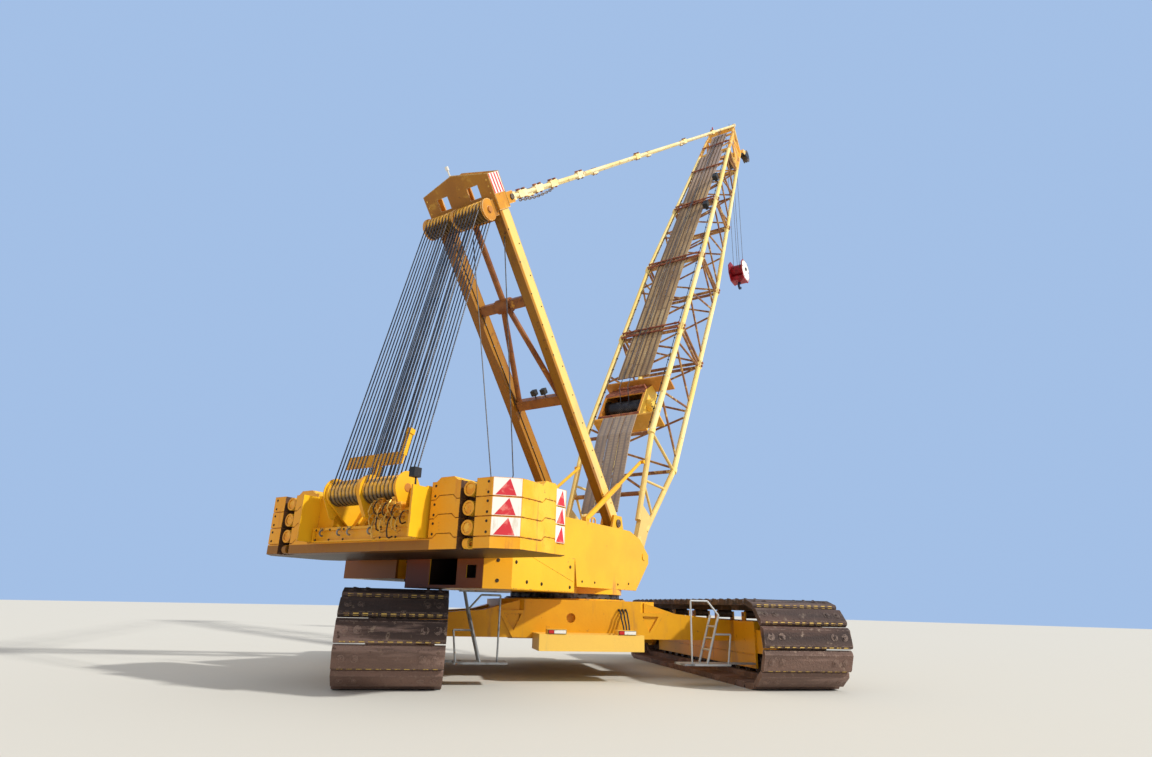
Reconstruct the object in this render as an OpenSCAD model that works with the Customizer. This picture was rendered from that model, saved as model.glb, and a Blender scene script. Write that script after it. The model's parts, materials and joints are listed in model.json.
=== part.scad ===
// Lattice boom crawler crane, standing with its boom up.
// Origin: on the slewing axis at ground level. +X is the way the boom points,
// +Y is the machine's left and +Z is up. Sizes are in millimetres.

/* [Undercarriage] */
// Distance between the centre lines of the two tracks
track_gauge = 8400; // [8200:50:8800]
// Width of a track shoe
shoe_w = 2000; // [1700:50:2100]
// Overall length of a track
track_len = 9800; // [9400:50:10200]
// Overall height of a track
track_h = 1800; // [1740:10:1820]
// Number of shoes in one track
shoe_count = 48; // [44:1:50]
// Turn of the tracks against the boom
track_yaw = 44; // [0:1:90]
// Thickness of a track shoe
shoe_t = 110; // [90:5:130]
// Thickness of the link chain under the shoes
link_t = 130; // [110:5:150]
// Width of the link chain
link_w = 900; // [700:20:960]
// Outer width of a track side frame
side_frame_w = 840; // [800:20:1000]
// Underside of the carbody above ground
carbody_z0 = 860; // [760:20:900]
// Top of the carbody
carbody_z1 = 1700; // [1660:10:1720]
// Radius of the slewing ring
ring_r = 1450; // [1300:25:1600]

/* [Superstructure] */
// Height of the underside of the slewing platform
deck_z0 = 1860; // [1850:5:1900]
// Outer width of the main frame
frame_w = 3000; // [2900:50:3100]
// Top of the main frame
frame_z1 = 3550; // [3500:10:3600]
// Distance from the slewing axis to the rear face of the counterweight
tail_r = 6970; // [6800:10:7200]
// Overall width of the counterweight
cw_w = 6620; // [6400:20:6900]
// Length of the counterweight along the machine
cw_len = 1980; // [1800:20:2100]
// Thickness of the counterweight tray
tray_t = 190; // [160:10:220]
// Thickness of one counterweight slab
slab_t = 330; // [300:5:360]
// Number of slabs on each side
slab_count = 3; // [2:1:4]

/* [Mast] */
// Angle of the mast above the boom side horizon
mast_angle = 130; // [125:1:135]
// Spacing of the two mast leg centres
mast_w = 1740; // [1700:10:1780]
// Width of a mast leg
leg_w = 240; // [200:10:260]
// Depth of a mast leg
leg_d = 420; // [340:10:460]
// Length of the mast from its foot pin to its head crossbeam
mast_len = 9170; // [9000:10:9300]

/* [Boom] */
// Angle of the boom above the horizon
boom_angle = 59.7; // [50:0.1:65]
// Spacing of the boom chords across the machine
boom_w = 2480; // [2440:20:2520]
// Spacing of the boom chords over the boom's depth
boom_d = 1920; // [1800:20:2000]
// Length of the boom from its foot pin to its head
boom_len = 28600; // [28000:100:29500]
// Length of the foot section
foot_len = 9400; // [9000:100:9800]
// Length of the middle section
middle_len = 4900; // [4700:100:5200]
// Radius of a boom chord
chord_r = 95; // [80:5:105]
// Radius of a lacing tube
lace_r = 40; // [30:2:46]

/* [Ropes] */
// Sheaves on each half of a luffing nest
nest_count = 8; // [6:1:8]
// Spacing of neighbouring sheaves
sheave_pitch = 104; // [98:2:104]
// Outer radius of a luffing sheave
sheave_r = 250; // [240:5:270]
// Radius at the bottom of its groove
groove_r = 215; // [205:5:225]
// Radius of a luffing rope
rope_r = 14; // [10:1:16]

/* [Hidden] */
$fn = 48;
// Gap left between pieces that rest on or run on each other
seat = 0.3;
// Gap beside pieces that turn past each other
side_gap = 10;

// Track loop
track_r = track_h / 2;
wheel_u = (track_len - track_h) / 2;
shoe_path_r = track_r - shoe_t;
link_in_r = track_r - shoe_t - link_t;
path_len = 4 * wheel_u + 2 * PI * shoe_path_r;
shoe_pitch = path_len / shoe_count;
shoe_gap = 14;

// Slewing platform and main frame
floor_z = deck_z0 + 140;
winch_z = 3150;
drum_shaft_r = 120;
web_t = 60;
frame_half = frame_w / 2;
tray_z0 = deck_z0 + 570;
tray_z1 = tray_z0 + tray_t;
base_z1 = tray_z1 - seat;
stack_in = frame_half + 70;
cw_front = -tail_r + cw_len;
winch_x = cw_front + 1390;
cw_half = cw_w / 2;

// Boom and mast pins
boom_pin = [1740, 2920];
boom_pin_r = 100;
mast_pin = [1020, 3790];
mast_pin_r = 80;
lug_t = 140;
winch_s = [4950, 6750];
winch_beam_b = [300, 960];
frame_off = 130;
top_joint_s = 19600;
taper_s = 4000;
plate_s = 1000;
top_s = foot_len + middle_len;
tip_w = 1540;
tip_d = 1250;

// Luffing nests: the axis of the upper one in the mast's frame, and of the lower one
nest_b = 560;
lower_axis = [-tail_r - 30, 3550];
upper_axis = [mast_pin[0] + mast_len * cos(mast_angle) - nest_b * sin(mast_angle),
              mast_pin[1] + mast_len * sin(mast_angle) + nest_b * cos(mast_angle)];
rope_run = upper_axis - lower_axis;
rope_dir = atan2(rope_run[1], rope_run[0]);
rope_len = norm(rope_run);
nest_gap = 120;
nest_half = nest_gap / 2 + nest_count * sheave_pitch;
nest_plate_t = 60;
nest_shaft_r = 80;
// Inner face of the frame's webs, clear of the outer nest plates
beam_in = nest_half + nest_plate_t + 48;
fall_off = groove_r + rope_r + seat;

// Head sheaves, hook and pendants
tip_axis = [boom_len + 50, -1320];
tip_sheave_r = 380;
tip_groove_r = tip_sheave_r - 45;
tip_shaft_r = 70;
side_axis = [boom_len + 280, -1330];
side_sheave_y = -800;
side_sheave_w = 260;
side_base_y = side_sheave_y - side_sheave_w / 2 - seat - 40;
tip_count = 4;
tip_pitch = 110;
cheek_y = tip_count * tip_pitch / 2 + seat;
hook_drop = 7300;
pendant_pin_a = mast_len + 120;
pendant_pin_b = -460;
pendant_tip_s = boom_len + 150;
pendant_tip_b = 750;

module in_tracks() rotate([0, 0, track_yaw]) children();
module on_boom() translate([boom_pin[0], 0, boom_pin[1]]) rotate([0, -boom_angle, 0]) children();
module on_mast() translate([mast_pin[0], 0, mast_pin[1]]) rotate([0, -mast_angle, 0]) children();
module both_sides() { children(); mirror([0, 1, 0]) children(); }
// A solid bar of radius r from point p to point q
module tube(p, q, r) {
    v = q - p;
    translate(p) rotate([0, acos(v[2] / norm(v)), atan2(v[1], v[0])]) cylinder(h = norm(v), r = r, $fn = 12);
}
// A shaft across the machine, centred on y
module shaft(x, z, len, r, y = 0) translate([x, y + len / 2, z]) rotate([90, 0, 0]) cylinder(h = len, r = r);
// A plate standing along the machine, cut to an outline in x and z, from y0 to y1
module plate(y0, y1, outline) translate([0, y1, 0]) rotate([90, 0, 0])
    linear_extrude(y1 - y0) polygon(outline);
function boom_point(s, b) = [boom_pin[0] + s * cos(boom_angle) - b * sin(boom_angle),
                             boom_pin[1] + s * sin(boom_angle) + b * cos(boom_angle)];

// Undercarriage: one side is drawn about its own centre line, then moved out
// Point and heading on the shoe path at distance d from the top rear
function path_at(d) =
    d < 2 * wheel_u ? [-wheel_u + d, shoe_path_r, 0]
    : d < 2 * wheel_u + PI * shoe_path_r ?
        let(a = (d - 2 * wheel_u) / shoe_path_r * 180 / PI)
        [wheel_u + shoe_path_r * sin(a), shoe_path_r * cos(a), -a]
    : d < 4 * wheel_u + PI * shoe_path_r ?
        [wheel_u - (d - 2 * wheel_u - PI * shoe_path_r), -shoe_path_r, 180]
    : let(a = (d - 4 * wheel_u - PI * shoe_path_r) / shoe_path_r * 180 / PI)
        [-wheel_u - shoe_path_r * sin(a), -shoe_path_r * cos(a), 180 - a];
module loop(r) hull() for (u = [-wheel_u, wheel_u]) translate([u, 0]) circle(r);
module stadium(r) {
    square([2 * wheel_u, 2 * r], center = true);
    for (u = [-wheel_u, wheel_u]) translate([u, 0]) circle(r);
}
shoe_half = shoe_pitch / 2 - shoe_gap / 2;
shoe_outline = [[-shoe_half, -12], [shoe_half, -12], [shoe_half, shoe_t * 0.45],
    [shoe_half - 60, shoe_t], [-shoe_half + 40, shoe_t], [-shoe_half, shoe_t * 0.7]];
module track() color("dimgray") translate([0, 0, track_r]) rotate([90, 0, 0]) {
    for (i = [0:shoe_count - 1]) {
        p = path_at((i + 0.5) * shoe_pitch);
        translate([p[0], p[1], -shoe_w / 2]) rotate([0, 0, p[2]])
            linear_extrude(shoe_w) polygon(shoe_outline);
    }
    translate([0, 0, -link_w / 2]) linear_extrude(link_w) difference() {
        stadium(shoe_path_r);
        stadium(link_in_r);
    }
}
roller_r = 180;
roller_z = track_r - link_in_r + roller_r + seat;
roller_pitch = 525;
roller_count = 13;
shell_t = 50;
channel_w = side_frame_w - 2 * shell_t;
frame_end_u = wheel_u - link_in_r - 40;
yoke_in = 330;
wheel_w = 2 * yoke_in - 100;
top_roller_r = 90;
top_roller_z = track_r + link_in_r - top_roller_r - seat;
top_roller_u = [-2400, -800, 800, 2400];
axle_r = 90;
module track_frame() color("gold") {
    difference() {
        translate([-frame_end_u, -side_frame_w / 2, 330]) cube([2 * frame_end_u, side_frame_w, 1000]);
        translate([-frame_end_u - 1, -channel_w / 2, 329]) cube([2 * frame_end_u + 2, channel_w, 330]);
    }
    for (e = [-1, 1], y = [-1, 1]) translate([0, y * (yoke_in + shell_t / 2), 0]) difference() {
        union() {
            translate([e > 0 ? frame_end_u - 300 : -wheel_u, -shell_t / 2, track_r - 250])
                cube([wheel_u - frame_end_u + 300, shell_t, 500]);
            shaft(e * wheel_u, track_r, shell_t, 250);
        }
        shaft(e * wheel_u, track_r, shell_t + 10, axle_r + seat);
    }
    for (u = top_roller_u, y = [-1, 1]) translate([0, y * 220, 0]) difference() {
        translate([u - 90, -20, 1320]) cube([180, 40, top_roller_z - 1320 + 60]);
        shaft(u, top_roller_z, 60, 40 + seat);
    }
}
sprocket_teeth = 14;
module track_wheels() color("dimgray") {
    // Idler at the rear, sprocket at the front
    difference() {
        union() {
            shaft(-wheel_u, track_r, wheel_w, link_in_r - seat);
            shaft(-wheel_u, track_r, 2 * yoke_in + 2 * shell_t, axle_r);
        }
        for (y = [-1, 1]) difference() {
            shaft(-wheel_u, track_r, 100, link_in_r - 110, y * (wheel_w / 2 - 49));
            shaft(-wheel_u, track_r, 102, 200, y * (wheel_w / 2 - 49));
        }
    }
    shaft(wheel_u, track_r, wheel_w, link_in_r - 70);
    shaft(wheel_u, track_r, 2 * yoke_in + 2 * shell_t, axle_r);
    for (i = [0:sprocket_teeth - 1], y = [-1, 1]) translate([wheel_u, y * 170, track_r])
        rotate([0, i * 360 / sprocket_teeth, 0]) translate([link_in_r - 90, -60, -60])
        cube([78, 120, 120]);
    for (i = [0:roller_count - 1]) {
        u = (i - (roller_count - 1) / 2) * roller_pitch;
        shaft(u, roller_z, 600, roller_r);
        shaft(u, roller_z, channel_w - 2 * seat, 70);
    }
    for (u = top_roller_u) {
        shaft(u, top_roller_z, 380, top_roller_r);
        shaft(u, top_roller_z, 480, 40);
    }
}
module on_side(s) in_tracks() translate([0, s * track_gauge / 2, 0]) children();
drive_r = 430;
drive_in = 3250;
module track_drives() color("gold") for (s = [-1, 1]) on_side(s)
    translate([0, -s * (yoke_in + shell_t + seat), 0]) {
        len = track_gauge / 2 - yoke_in - shell_t - drive_in;
        shaft(wheel_u, track_r, len, drive_r, -s * len / 2);
        shaft(wheel_u, track_r, 120, drive_r + 60, -s * 60);
    }
// Carbody: a box between the tracks with two cross arms and a round seat
arm_u = 1750;
arm_w = 900;
body_u = 2250;
body_v = 1900;
module carbody() color("gold") in_tracks() {
    difference() {
        translate([0, 0, carbody_z0]) linear_extrude(carbody_z1 - carbody_z0) polygon([
            [-body_u, -body_v + 500], [-body_u, body_v - 500], [-body_u + 500, body_v],
            [body_u - 500, body_v], [body_u, body_v - 500], [body_u, -body_v + 500],
            [body_u - 500, -body_v], [-body_u + 500, -body_v]]);
        for (e = [-1, 1]) translate([e * body_u, e * -290, 1300]) rotate([0, 90, 0])
            cylinder(h = 300, r = 105, center = true);
    }
    // Triangular gussets between the box and its arms
    for (e = [-1, 1], v = [-1, 1]) translate([e * (body_u - 30) - 30, 0, 0]) rotate([90, 0, 90])
        linear_extrude(60) difference() {
            polygon([[v * 1280, 1450], [v * 2000, 1450], [v * 1640, carbody_z0], [v * 1280, carbody_z0]]);
            polygon([[v * 1450, 1370], [v * 1850, 1370], [v * 1620, 1010]]);
        }
    cylinder_top = carbody_z1 + 40;
    translate([0, 0, carbody_z0]) cylinder(h = cylinder_top - carbody_z0, r = ring_r + 150, $fn = 96);
    reach = track_gauge / 2 - side_frame_w / 2;
    for (e = [-1, 1], s = [-1, 1]) translate([e * arm_u - arm_w / 2, 0, 0]) rotate([90, 0, 90])
        linear_extrude(arm_w) polygon([[s * 1500, carbody_z0], [s * reach, carbody_z0], [s * reach, 1320],
            [s * 2300, 1440], [s * 1500, carbody_z1 - 30]]);
}
module slew_ring() color("silver") {
    z0 = carbody_z1 + 40;
    difference() {
        translate([0, 0, z0]) cylinder(h = deck_z0 - z0 - seat, r = ring_r, $fn = 96);
        translate([0, 0, z0 - 1]) cylinder(h = deck_z0 - z0 + 2, r = ring_r - 220, $fn = 96);
    }
}
module end_boxes() color("gold") in_tracks() for (e = [-1, 1]) {
    translate([e > 0 ? body_u : -body_u - 950, -1180, 640]) {
        difference() {
            cube([950, 2360, 340]);
            translate([60, 60, 60]) cube([830, 2240, 400]);
        }
        // Lamp housings on the rim
        for (v = [180, 1760]) translate([e > 0 ? 680 : 0, v, 339]) cube([270, 420, 100]);
    }
}

// Superstructure
// Step in the underside of the frame, behind the slewing ring
step_x = [-1950, -1850];
side_profile = [[-tail_r + 20, tray_z1], [-tail_r + 20, frame_z1], [boom_pin[0] - 840, frame_z1],
    [boom_pin[0] - 240, boom_pin[1] + 460], [boom_pin[0] + 300, boom_pin[1] + 60],
    [boom_pin[0] + 300, boom_pin[1] - 160], [boom_pin[0] - 490, floor_z], [step_x[1], floor_z],
    [step_x[0], tray_z1]];
// Plates of the mast foot, one on the inner web and one further in
mast_foot = [[mast_pin[0] - 420, mast_pin[1] - 390], [mast_pin[0] + 420, mast_pin[1] - 490],
    [mast_pin[0] + 220, mast_pin[1] + 210], [mast_pin[0] - 220, mast_pin[1] + 210]];
foot_in = [mast_w / 2 - 210, mast_w / 2 - 140];
cover_t = 40;
cover_x1 = 300;
function slope_x(z) = -tail_r + 670 - (frame_z1 - 60 - z) * 0.53;
wing_len = 400;
wing_t = 40;
wing_drop = 30;
module main_frame() color("gold") {
    both_sides() {
        difference() {
            union() {
                plate(frame_half - web_t, frame_half, side_profile);
                plate(beam_in, beam_in + web_t, side_profile);
                // Covers of the box beam, open in front for the boom foot
                translate([-tail_r + 20, beam_in, frame_z1 - cover_t])
                    cube([tail_r - 20 + cover_x1, frame_half - beam_in, cover_t]);
                translate([-tail_r + 20, beam_in, tray_z1])
                    cube([cover_t, frame_half - beam_in, frame_z1 - tray_z1]);
                translate([step_x[1], beam_in, floor_z]) cube([2000, frame_half - beam_in, cover_t]);
                // Wing plate that stands out behind the counterweight
                plate(frame_half - wing_t, frame_half, [[-tail_r - wing_len, tray_z1 + 10],
                    [-tail_r + 21, tray_z1 + 10], [-tail_r + 21, frame_z1], [-tail_r - 30, frame_z1],
                    [-tail_r - 60, frame_z1 - wing_drop], [-tail_r - wing_len, frame_z1 - wing_drop]]);
                // Mast foot bracket
                plate(beam_in, beam_in + web_t, mast_foot);
                plate(foot_in[0], foot_in[1], mast_foot);
            }
            shaft(boom_pin[0], boom_pin[1], 4000, boom_pin_r);
            shaft(mast_pin[0], mast_pin[1], 4000, mast_pin_r);
            shaft(winch_x, winch_z, 2 * (beam_in + web_t) + 20, drum_shaft_r + seat);
        }
        // Pins of the boom foot and of the mast foot
        shaft(boom_pin[0], boom_pin[1], frame_half - beam_in + 40, boom_pin_r, (frame_half + beam_in) / 2);
        shaft(mast_pin[0], mast_pin[1], beam_in + web_t - foot_in[0] + 20, mast_pin_r,
            (foot_in[0] + beam_in + web_t) / 2);
        // Seat of the backstop
        translate([stop_foot[0] - 130, stop_y - 90, frame_z1 - 1]) cube([260, 200, 30]);
    }
    // Arms and rails that carry the cab
    for (x = [cab[0][0] + 30, cab[0][0] + 630]) translate([x, frame_half - 1, cab[0][2] - 130])
        cube([160, cab[1][1] - frame_half - 60, 130 - seat]);
    for (y = [cab[0][1] + 60, cab[1][1] - 160]) translate([cab[0][0] + 30, y, cab[0][2] - 130])
        cube([cab[1][0] - cab[0][0] - 60, 100, 130 - seat]);
    translate([400, -beam_in - 1, floor_z]) cube([60, 2 * beam_in + 2, frame_z1 - floor_z]);
    translate([400, -beam_in - 1, 3400]) cube([1000, 2 * beam_in + 2, 60]);
    translate([-1900, -beam_in - 1, floor_z]) cube([2360, 2 * beam_in + 2, 60]);
    translate([-2400, -beam_in - 1, tray_z1]) cube([60, 2 * beam_in + 2, frame_z1 - tray_z1 - 300]);
    // Sloped rear plate with its ribs
    slope_z = frame_z1 - 60;
    plate(-beam_in - 1, beam_in + 1, [[slope_x(slope_z), slope_z], [slope_x(slope_z) + 60, slope_z],
        [slope_x(tray_z1) + 60, tray_z1], [slope_x(tray_z1), tray_z1]]);
    for (y = [-720, -480, -240, 240, 480, 720])
        plate(y - 15, y + 15, [[slope_x(slope_z - 60) + 20, slope_z - 60],
            [slope_x(tray_z1) - 140, tray_z1], [slope_x(tray_z1) + 40, tray_z1]]);
}
base_x0 = cw_front + 190;
base_x1 = step_x[0] - seat;
base_chamfer = 420;
module slewing_base() color("gold") {
    difference() {
        translate([0, 0, deck_z0]) linear_extrude(base_z1 - deck_z0) polygon([
            [base_x0, -frame_half + base_chamfer], [base_x0, frame_half - base_chamfer],
            [base_x0 + base_chamfer, frame_half], [base_x1, frame_half],
            [base_x1, -frame_half], [base_x0 + base_chamfer, -frame_half]]);
        translate([base_x0 - 1, -380, deck_z0 + 60]) cube([1400, 760, base_z1 - deck_z0 - 120]);
        translate([base_x0 - 1, -900, deck_z0 + 200]) cube([260, 260, 260]);
    }
    translate([base_x1 - 1, -beam_in - web_t, deck_z0])
        cube([1200 - base_x1, 2 * (beam_in + web_t), floor_z - seat - deck_z0]);
    translate([0, 0, deck_z0]) cylinder(h = floor_z - seat - deck_z0, r = ring_r + 60, $fn = 96);
}
// Outline of a slab or of the tray, drawn in by e on its open edges
function slab_plan(e, inner) = [[-tail_r + e, inner], [-tail_r + e, cw_half - 360],
    [-tail_r + 360, cw_half - e], [cw_front - 240, cw_half - e], [cw_front - e, cw_half - 240],
    [cw_front - e, inner]];
hat_y = 1920;
hat_x = -tail_r + 1220;
hat_len = 650;
hat_h = 75;
hat_gap = 12;
seam_h = 16;
seam_in = 45;
lug_y = 2420;
recess_w = 360;
// Raised key on the top of a slab: across the rear edge and across the outer edge
module keys(grow) {
    key = [[-250 - grow, -1], [250 + grow, -1], [150 + grow, hat_h + grow], [-150 - grow, hat_h + grow]];
    out = grow > 0 ? 1 : 0;
    translate([-tail_r - out, hat_y, 0]) rotate([90, 0, 90]) linear_extrude(hat_len + grow) polygon(key);
    translate([hat_x, cw_half + out, 0]) rotate([90, 0, 0]) linear_extrude(hat_len + grow) polygon(key);
}
module slab() {
    difference() {
        union() {
            linear_extrude(seam_h + 1) polygon(slab_plan(seam_in, stack_in));
            translate([0, 0, seam_h]) linear_extrude(slab_t - seat - seam_h) polygon(slab_plan(0, stack_in));
            translate([0, 0, slab_t - seat]) keys(0);
        }
        keys(hat_gap);
        translate([-tail_r - 1, lug_y - recess_w / 2, -1]) cube([260, recess_w, slab_t + 2]);
    }
    // Round lifting lug in the recess of the rear face, with a dished end
    translate([-tail_r + 30, lug_y, slab_t / 2]) rotate([0, 90, 0]) difference() {
        cylinder(h = 235, r = 130);
        translate([0, 0, -1]) cylinder(h = 21, r = 95);
    }
}
module stack() color("gold") for (i = [0:slab_count - 1])
    translate([0, 0, tray_z1 + seat + i * slab_t]) slab();
module counterweight_tray() color("gold") {
    both_sides() {
        difference() {
            translate([0, 0, tray_z0]) linear_extrude(tray_t - seat) polygon(slab_plan(0, -1));
            translate([-tail_r - 1, lug_y - recess_w / 2, tray_z0 - 1]) cube([200, recess_w, tray_t + 2]);
        }
        translate([0, 0, tray_z1 - seat]) keys(0);
        // Half eye in the tray under the recess
        translate([-tail_r + 90, lug_y + 60, tray_z0]) rotate([90, 0, 0]) linear_extrude(120) difference() {
            union() {
                translate([0, tray_t / 2]) circle(85);
                translate([0, tray_t / 2 - 85]) square([120, 170]);
            }
            translate([0, tray_t / 2]) circle(42);
        }
    }
}
module sheave_nest() color("darkgoldenrod") rotate([90, 0, 0]) for (m = [0, 1]) mirror([0, 0, m])
    rotate_extrude($fn = 64) polygon(concat(
        [[0, 0], [nest_shaft_r, 0]],
        [[nest_shaft_r, nest_gap / 2], [sheave_r, nest_gap / 2]],
        [for (i = [0:nest_count - 1]) let(y = nest_gap / 2 + (i + 0.5) * sheave_pitch)
            each [[sheave_r, y - 26], [groove_r, y - 18], [groove_r, y + 18], [sheave_r, y + 26]]],
        [[sheave_r, nest_half], [nest_shaft_r, nest_half],
         [nest_shaft_r, nest_half + nest_plate_t + 40], [0, nest_half + nest_plate_t + 40]]));
module lower_sheaves() translate([lower_axis[0], 0, lower_axis[1]]) sheave_nest();
module upper_sheaves() translate([upper_axis[0], 0, upper_axis[1]]) sheave_nest();
nest_plates = [0, -nest_half - seat - nest_plate_t / 2, nest_half + seat + nest_plate_t / 2];
// Lowest point of a nest plate on the sloped rear plate
foot_z = tray_z1 + 330;
tail_beam = [[-tail_r - 120, tray_z1 + seat], [-tail_r + 20 - seat, tray_z1 + 270]];
module tail_brackets() color("gold") {
    for (y = nest_plates) difference() {
        union() {
            shaft(lower_axis[0], lower_axis[1], nest_plate_t, sheave_r + 20, y);
            plate(y - nest_plate_t / 2, y + nest_plate_t / 2, [[lower_axis[0] - 215, lower_axis[1] - 165],
                [lower_axis[0] + 165, lower_axis[1] + 215], [slope_x(frame_z1 - 130) - seat, frame_z1 - 130],
                [slope_x(foot_z) - seat, foot_z], [slope_x(foot_z) - 90, foot_z]]);
        }
        shaft(lower_axis[0], lower_axis[1], 4000, nest_shaft_r + seat);
    }
    // Cross beam on the tray between the two wing plates, and its ribs
    size = tail_beam[1] - tail_beam[0];
    width = frame_w - 2 * wing_t - 120;
    translate([tail_beam[0][0], -width / 2, tail_beam[0][1]]) difference() {
        cube([size[0], width, size[1]]);
        translate([-1, 30, 30]) cube([60, width - 60, 190]);
    }
}
module at_ropes() translate([lower_axis[0], 0, lower_axis[1]]) rotate([0, -rope_dir, 0]) children();
// Rope guide: a plate between the two layers of falls that turns on the nest shaft
guide_s = [520, 780];
guide_y = [-640, 940];
guide_arm_t = 20;
module rope_guide() color("gold") at_ropes() {
    translate([guide_s[0], guide_y[0], -15]) cube([guide_s[1] - guide_s[0], guide_y[1] - guide_y[0], 30]);
    // Arms on both sides of the middle nest plate
    for (y = [-1, 1] * (nest_plate_t / 2 + nest_gap / 2) / 2) difference() {
        union() {
            shaft(0, 0, guide_arm_t, nest_shaft_r + 60, y);
            translate([0, y - guide_arm_t / 2, -50]) cube([guide_s[0] + 1, guide_arm_t, 100]);
        }
        shaft(0, 0, 4000, nest_shaft_r + seat);
    }
    // Lever at the right end of the guide
    translate([guide_s[1] - 80, guide_y[0], -45]) cube([450, 80, 90]);
    translate([guide_s[1] + 370, guide_y[0] - 20, -70]) cube([110, 120, 140]);
}
module luffing_winch() color("dimgray") {
    shaft(winch_x, winch_z, 2 * beam_in + web_t, drum_shaft_r);
    shaft(winch_x, winch_z, 1500, 330);
    for (y = [-1, 1]) shaft(winch_x, winch_z, 60, 450, y * 780);
}
house = [[cw_front + 290, frame_half + seat, floor_z + 50], [-250, 3200, 3420]];
louvre_count = 9;
seam_x = [-3750, -2650, -1500];
module engine_house() color("gold") {
    difference() {
        translate(house[0]) cube(house[1] - house[0]);
        translate(house[0] + [40, 40, 40]) cube(house[1] - house[0] - [80, 80, 80]);
        // Gaps between the doors of the outer side
        for (x = seam_x) translate([x, house[1][1] - 12, house[0][2] + 60])
            cube([14, 13, house[1][2] - house[0][2] - 120]);
    }
    // Louvres in two doors, roof hatch, exhaust and handrail
    for (x = [seam_x[0] + 150, seam_x[2] + 150], i = [0:louvre_count - 1])
        translate([x, house[1][1] - 1, house[0][2] + 420 + i * 90]) rotate([90, 0, 90]) linear_extrude(800)
            polygon([[0, 0], [45, 0], [30, 12], [0, 55]]);
    translate([-3300, 1900, house[1][2] - 1]) cube([1500, 900, 71]);
    translate([-1200, 2000, house[1][2] - 1]) cylinder(h = 520, r = 95);
    for (z = [420, 860]) tube([house[0][0] + 60, house[1][1] - 50, house[1][2] + z],
        [house[1][0] - 60, house[1][1] - 50, house[1][2] + z], 20);
    for (x = [house[0][0] + 60, -3200, -1700, house[1][0] - 60])
        tube([x, house[1][1] - 50, house[1][2] - 5], [x, house[1][1] - 50, house[1][2] + 860], 22);
}
module engine() color("dimgray") translate([-3900, 1850, house[0][2] + 40 + seat]) cube([2200, 1000, 1000]);
cab = [[450, 1640, 2060], [2650, 3040, 4160]];
cab_t = 60;
module cab_body() color("gold") {
    for (z = [400, 1500]) knuckle(cab[0][2] + z - 120 - seat, -1);
    difference() {
    translate(cab[0]) cube(cab[1] - cab[0]);
    translate(cab[0] + [cab_t, cab_t, cab_t]) cube(cab[1] - cab[0] - 2 * [cab_t, cab_t, cab_t]);
    // Windows: front, right side, rear and roof
    translate([cab[1][0] - cab_t - 1, cab[0][1] + 120, cab[0][2] + 420]) cube([cab_t + 2, 1160, 1540]);
    translate([cab[0][0] + 500, cab[0][1] - 1, cab[0][2] + 850]) cube([1500, cab_t + 2, 1080]);
    translate([cab[0][0] - 1, cab[0][1] + 200, cab[0][2] + 950]) cube([cab_t + 2, 1000, 900]);
    translate([cab[0][0] + 1300, cab[0][1] + 200, cab[1][2] - cab_t - 1]) cube([700, 1000, cab_t + 2]);
    // Side window behind the door, and the doorway
    translate([cab[0][0] + 120, cab[1][1] - cab_t - 1, cab[0][2] + 950]) cube([620, cab_t + 2, 950]);
    translate([cab[0][0] + 900, cab[1][1] - cab_t - 1, cab[0][2] + 100]) cube([1150, cab_t + 2, 1900]);
    }
}
// Door hinge: its knuckles stand outside the wall, in the middle of the gap
door_hinge = [cab[0][0] + 905, cab[1][1] + 15];
module knuckle(z, e) translate([door_hinge[0], door_hinge[1], z]) {
    cylinder(h = 120, r = 14);
    translate([e > 0 ? 0 : -50, -17, 0]) cube([50, 24, 120]);
}
module cab_door() color("gold") {
    difference() {
        translate([cab[0][0] + 910, cab[1][1] - 40, cab[0][2] + 110]) cube([1130, 40, 1880]);
        translate([cab[0][0] + 1000, cab[1][1] - 41, cab[0][2] + 800]) cube([950, 42, 1100]);
    }
    for (z = [400, 1500]) knuckle(cab[0][2] + z, 1);
}
module cab_seat() color("black") translate([cab[0][0] + 700, cab[0][1] + 450, cab[0][2] + cab_t + seat]) {
    cube([500, 500, 420]);
    translate([-80, 0, 400]) cube([140, 500, 700]);
}

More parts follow.
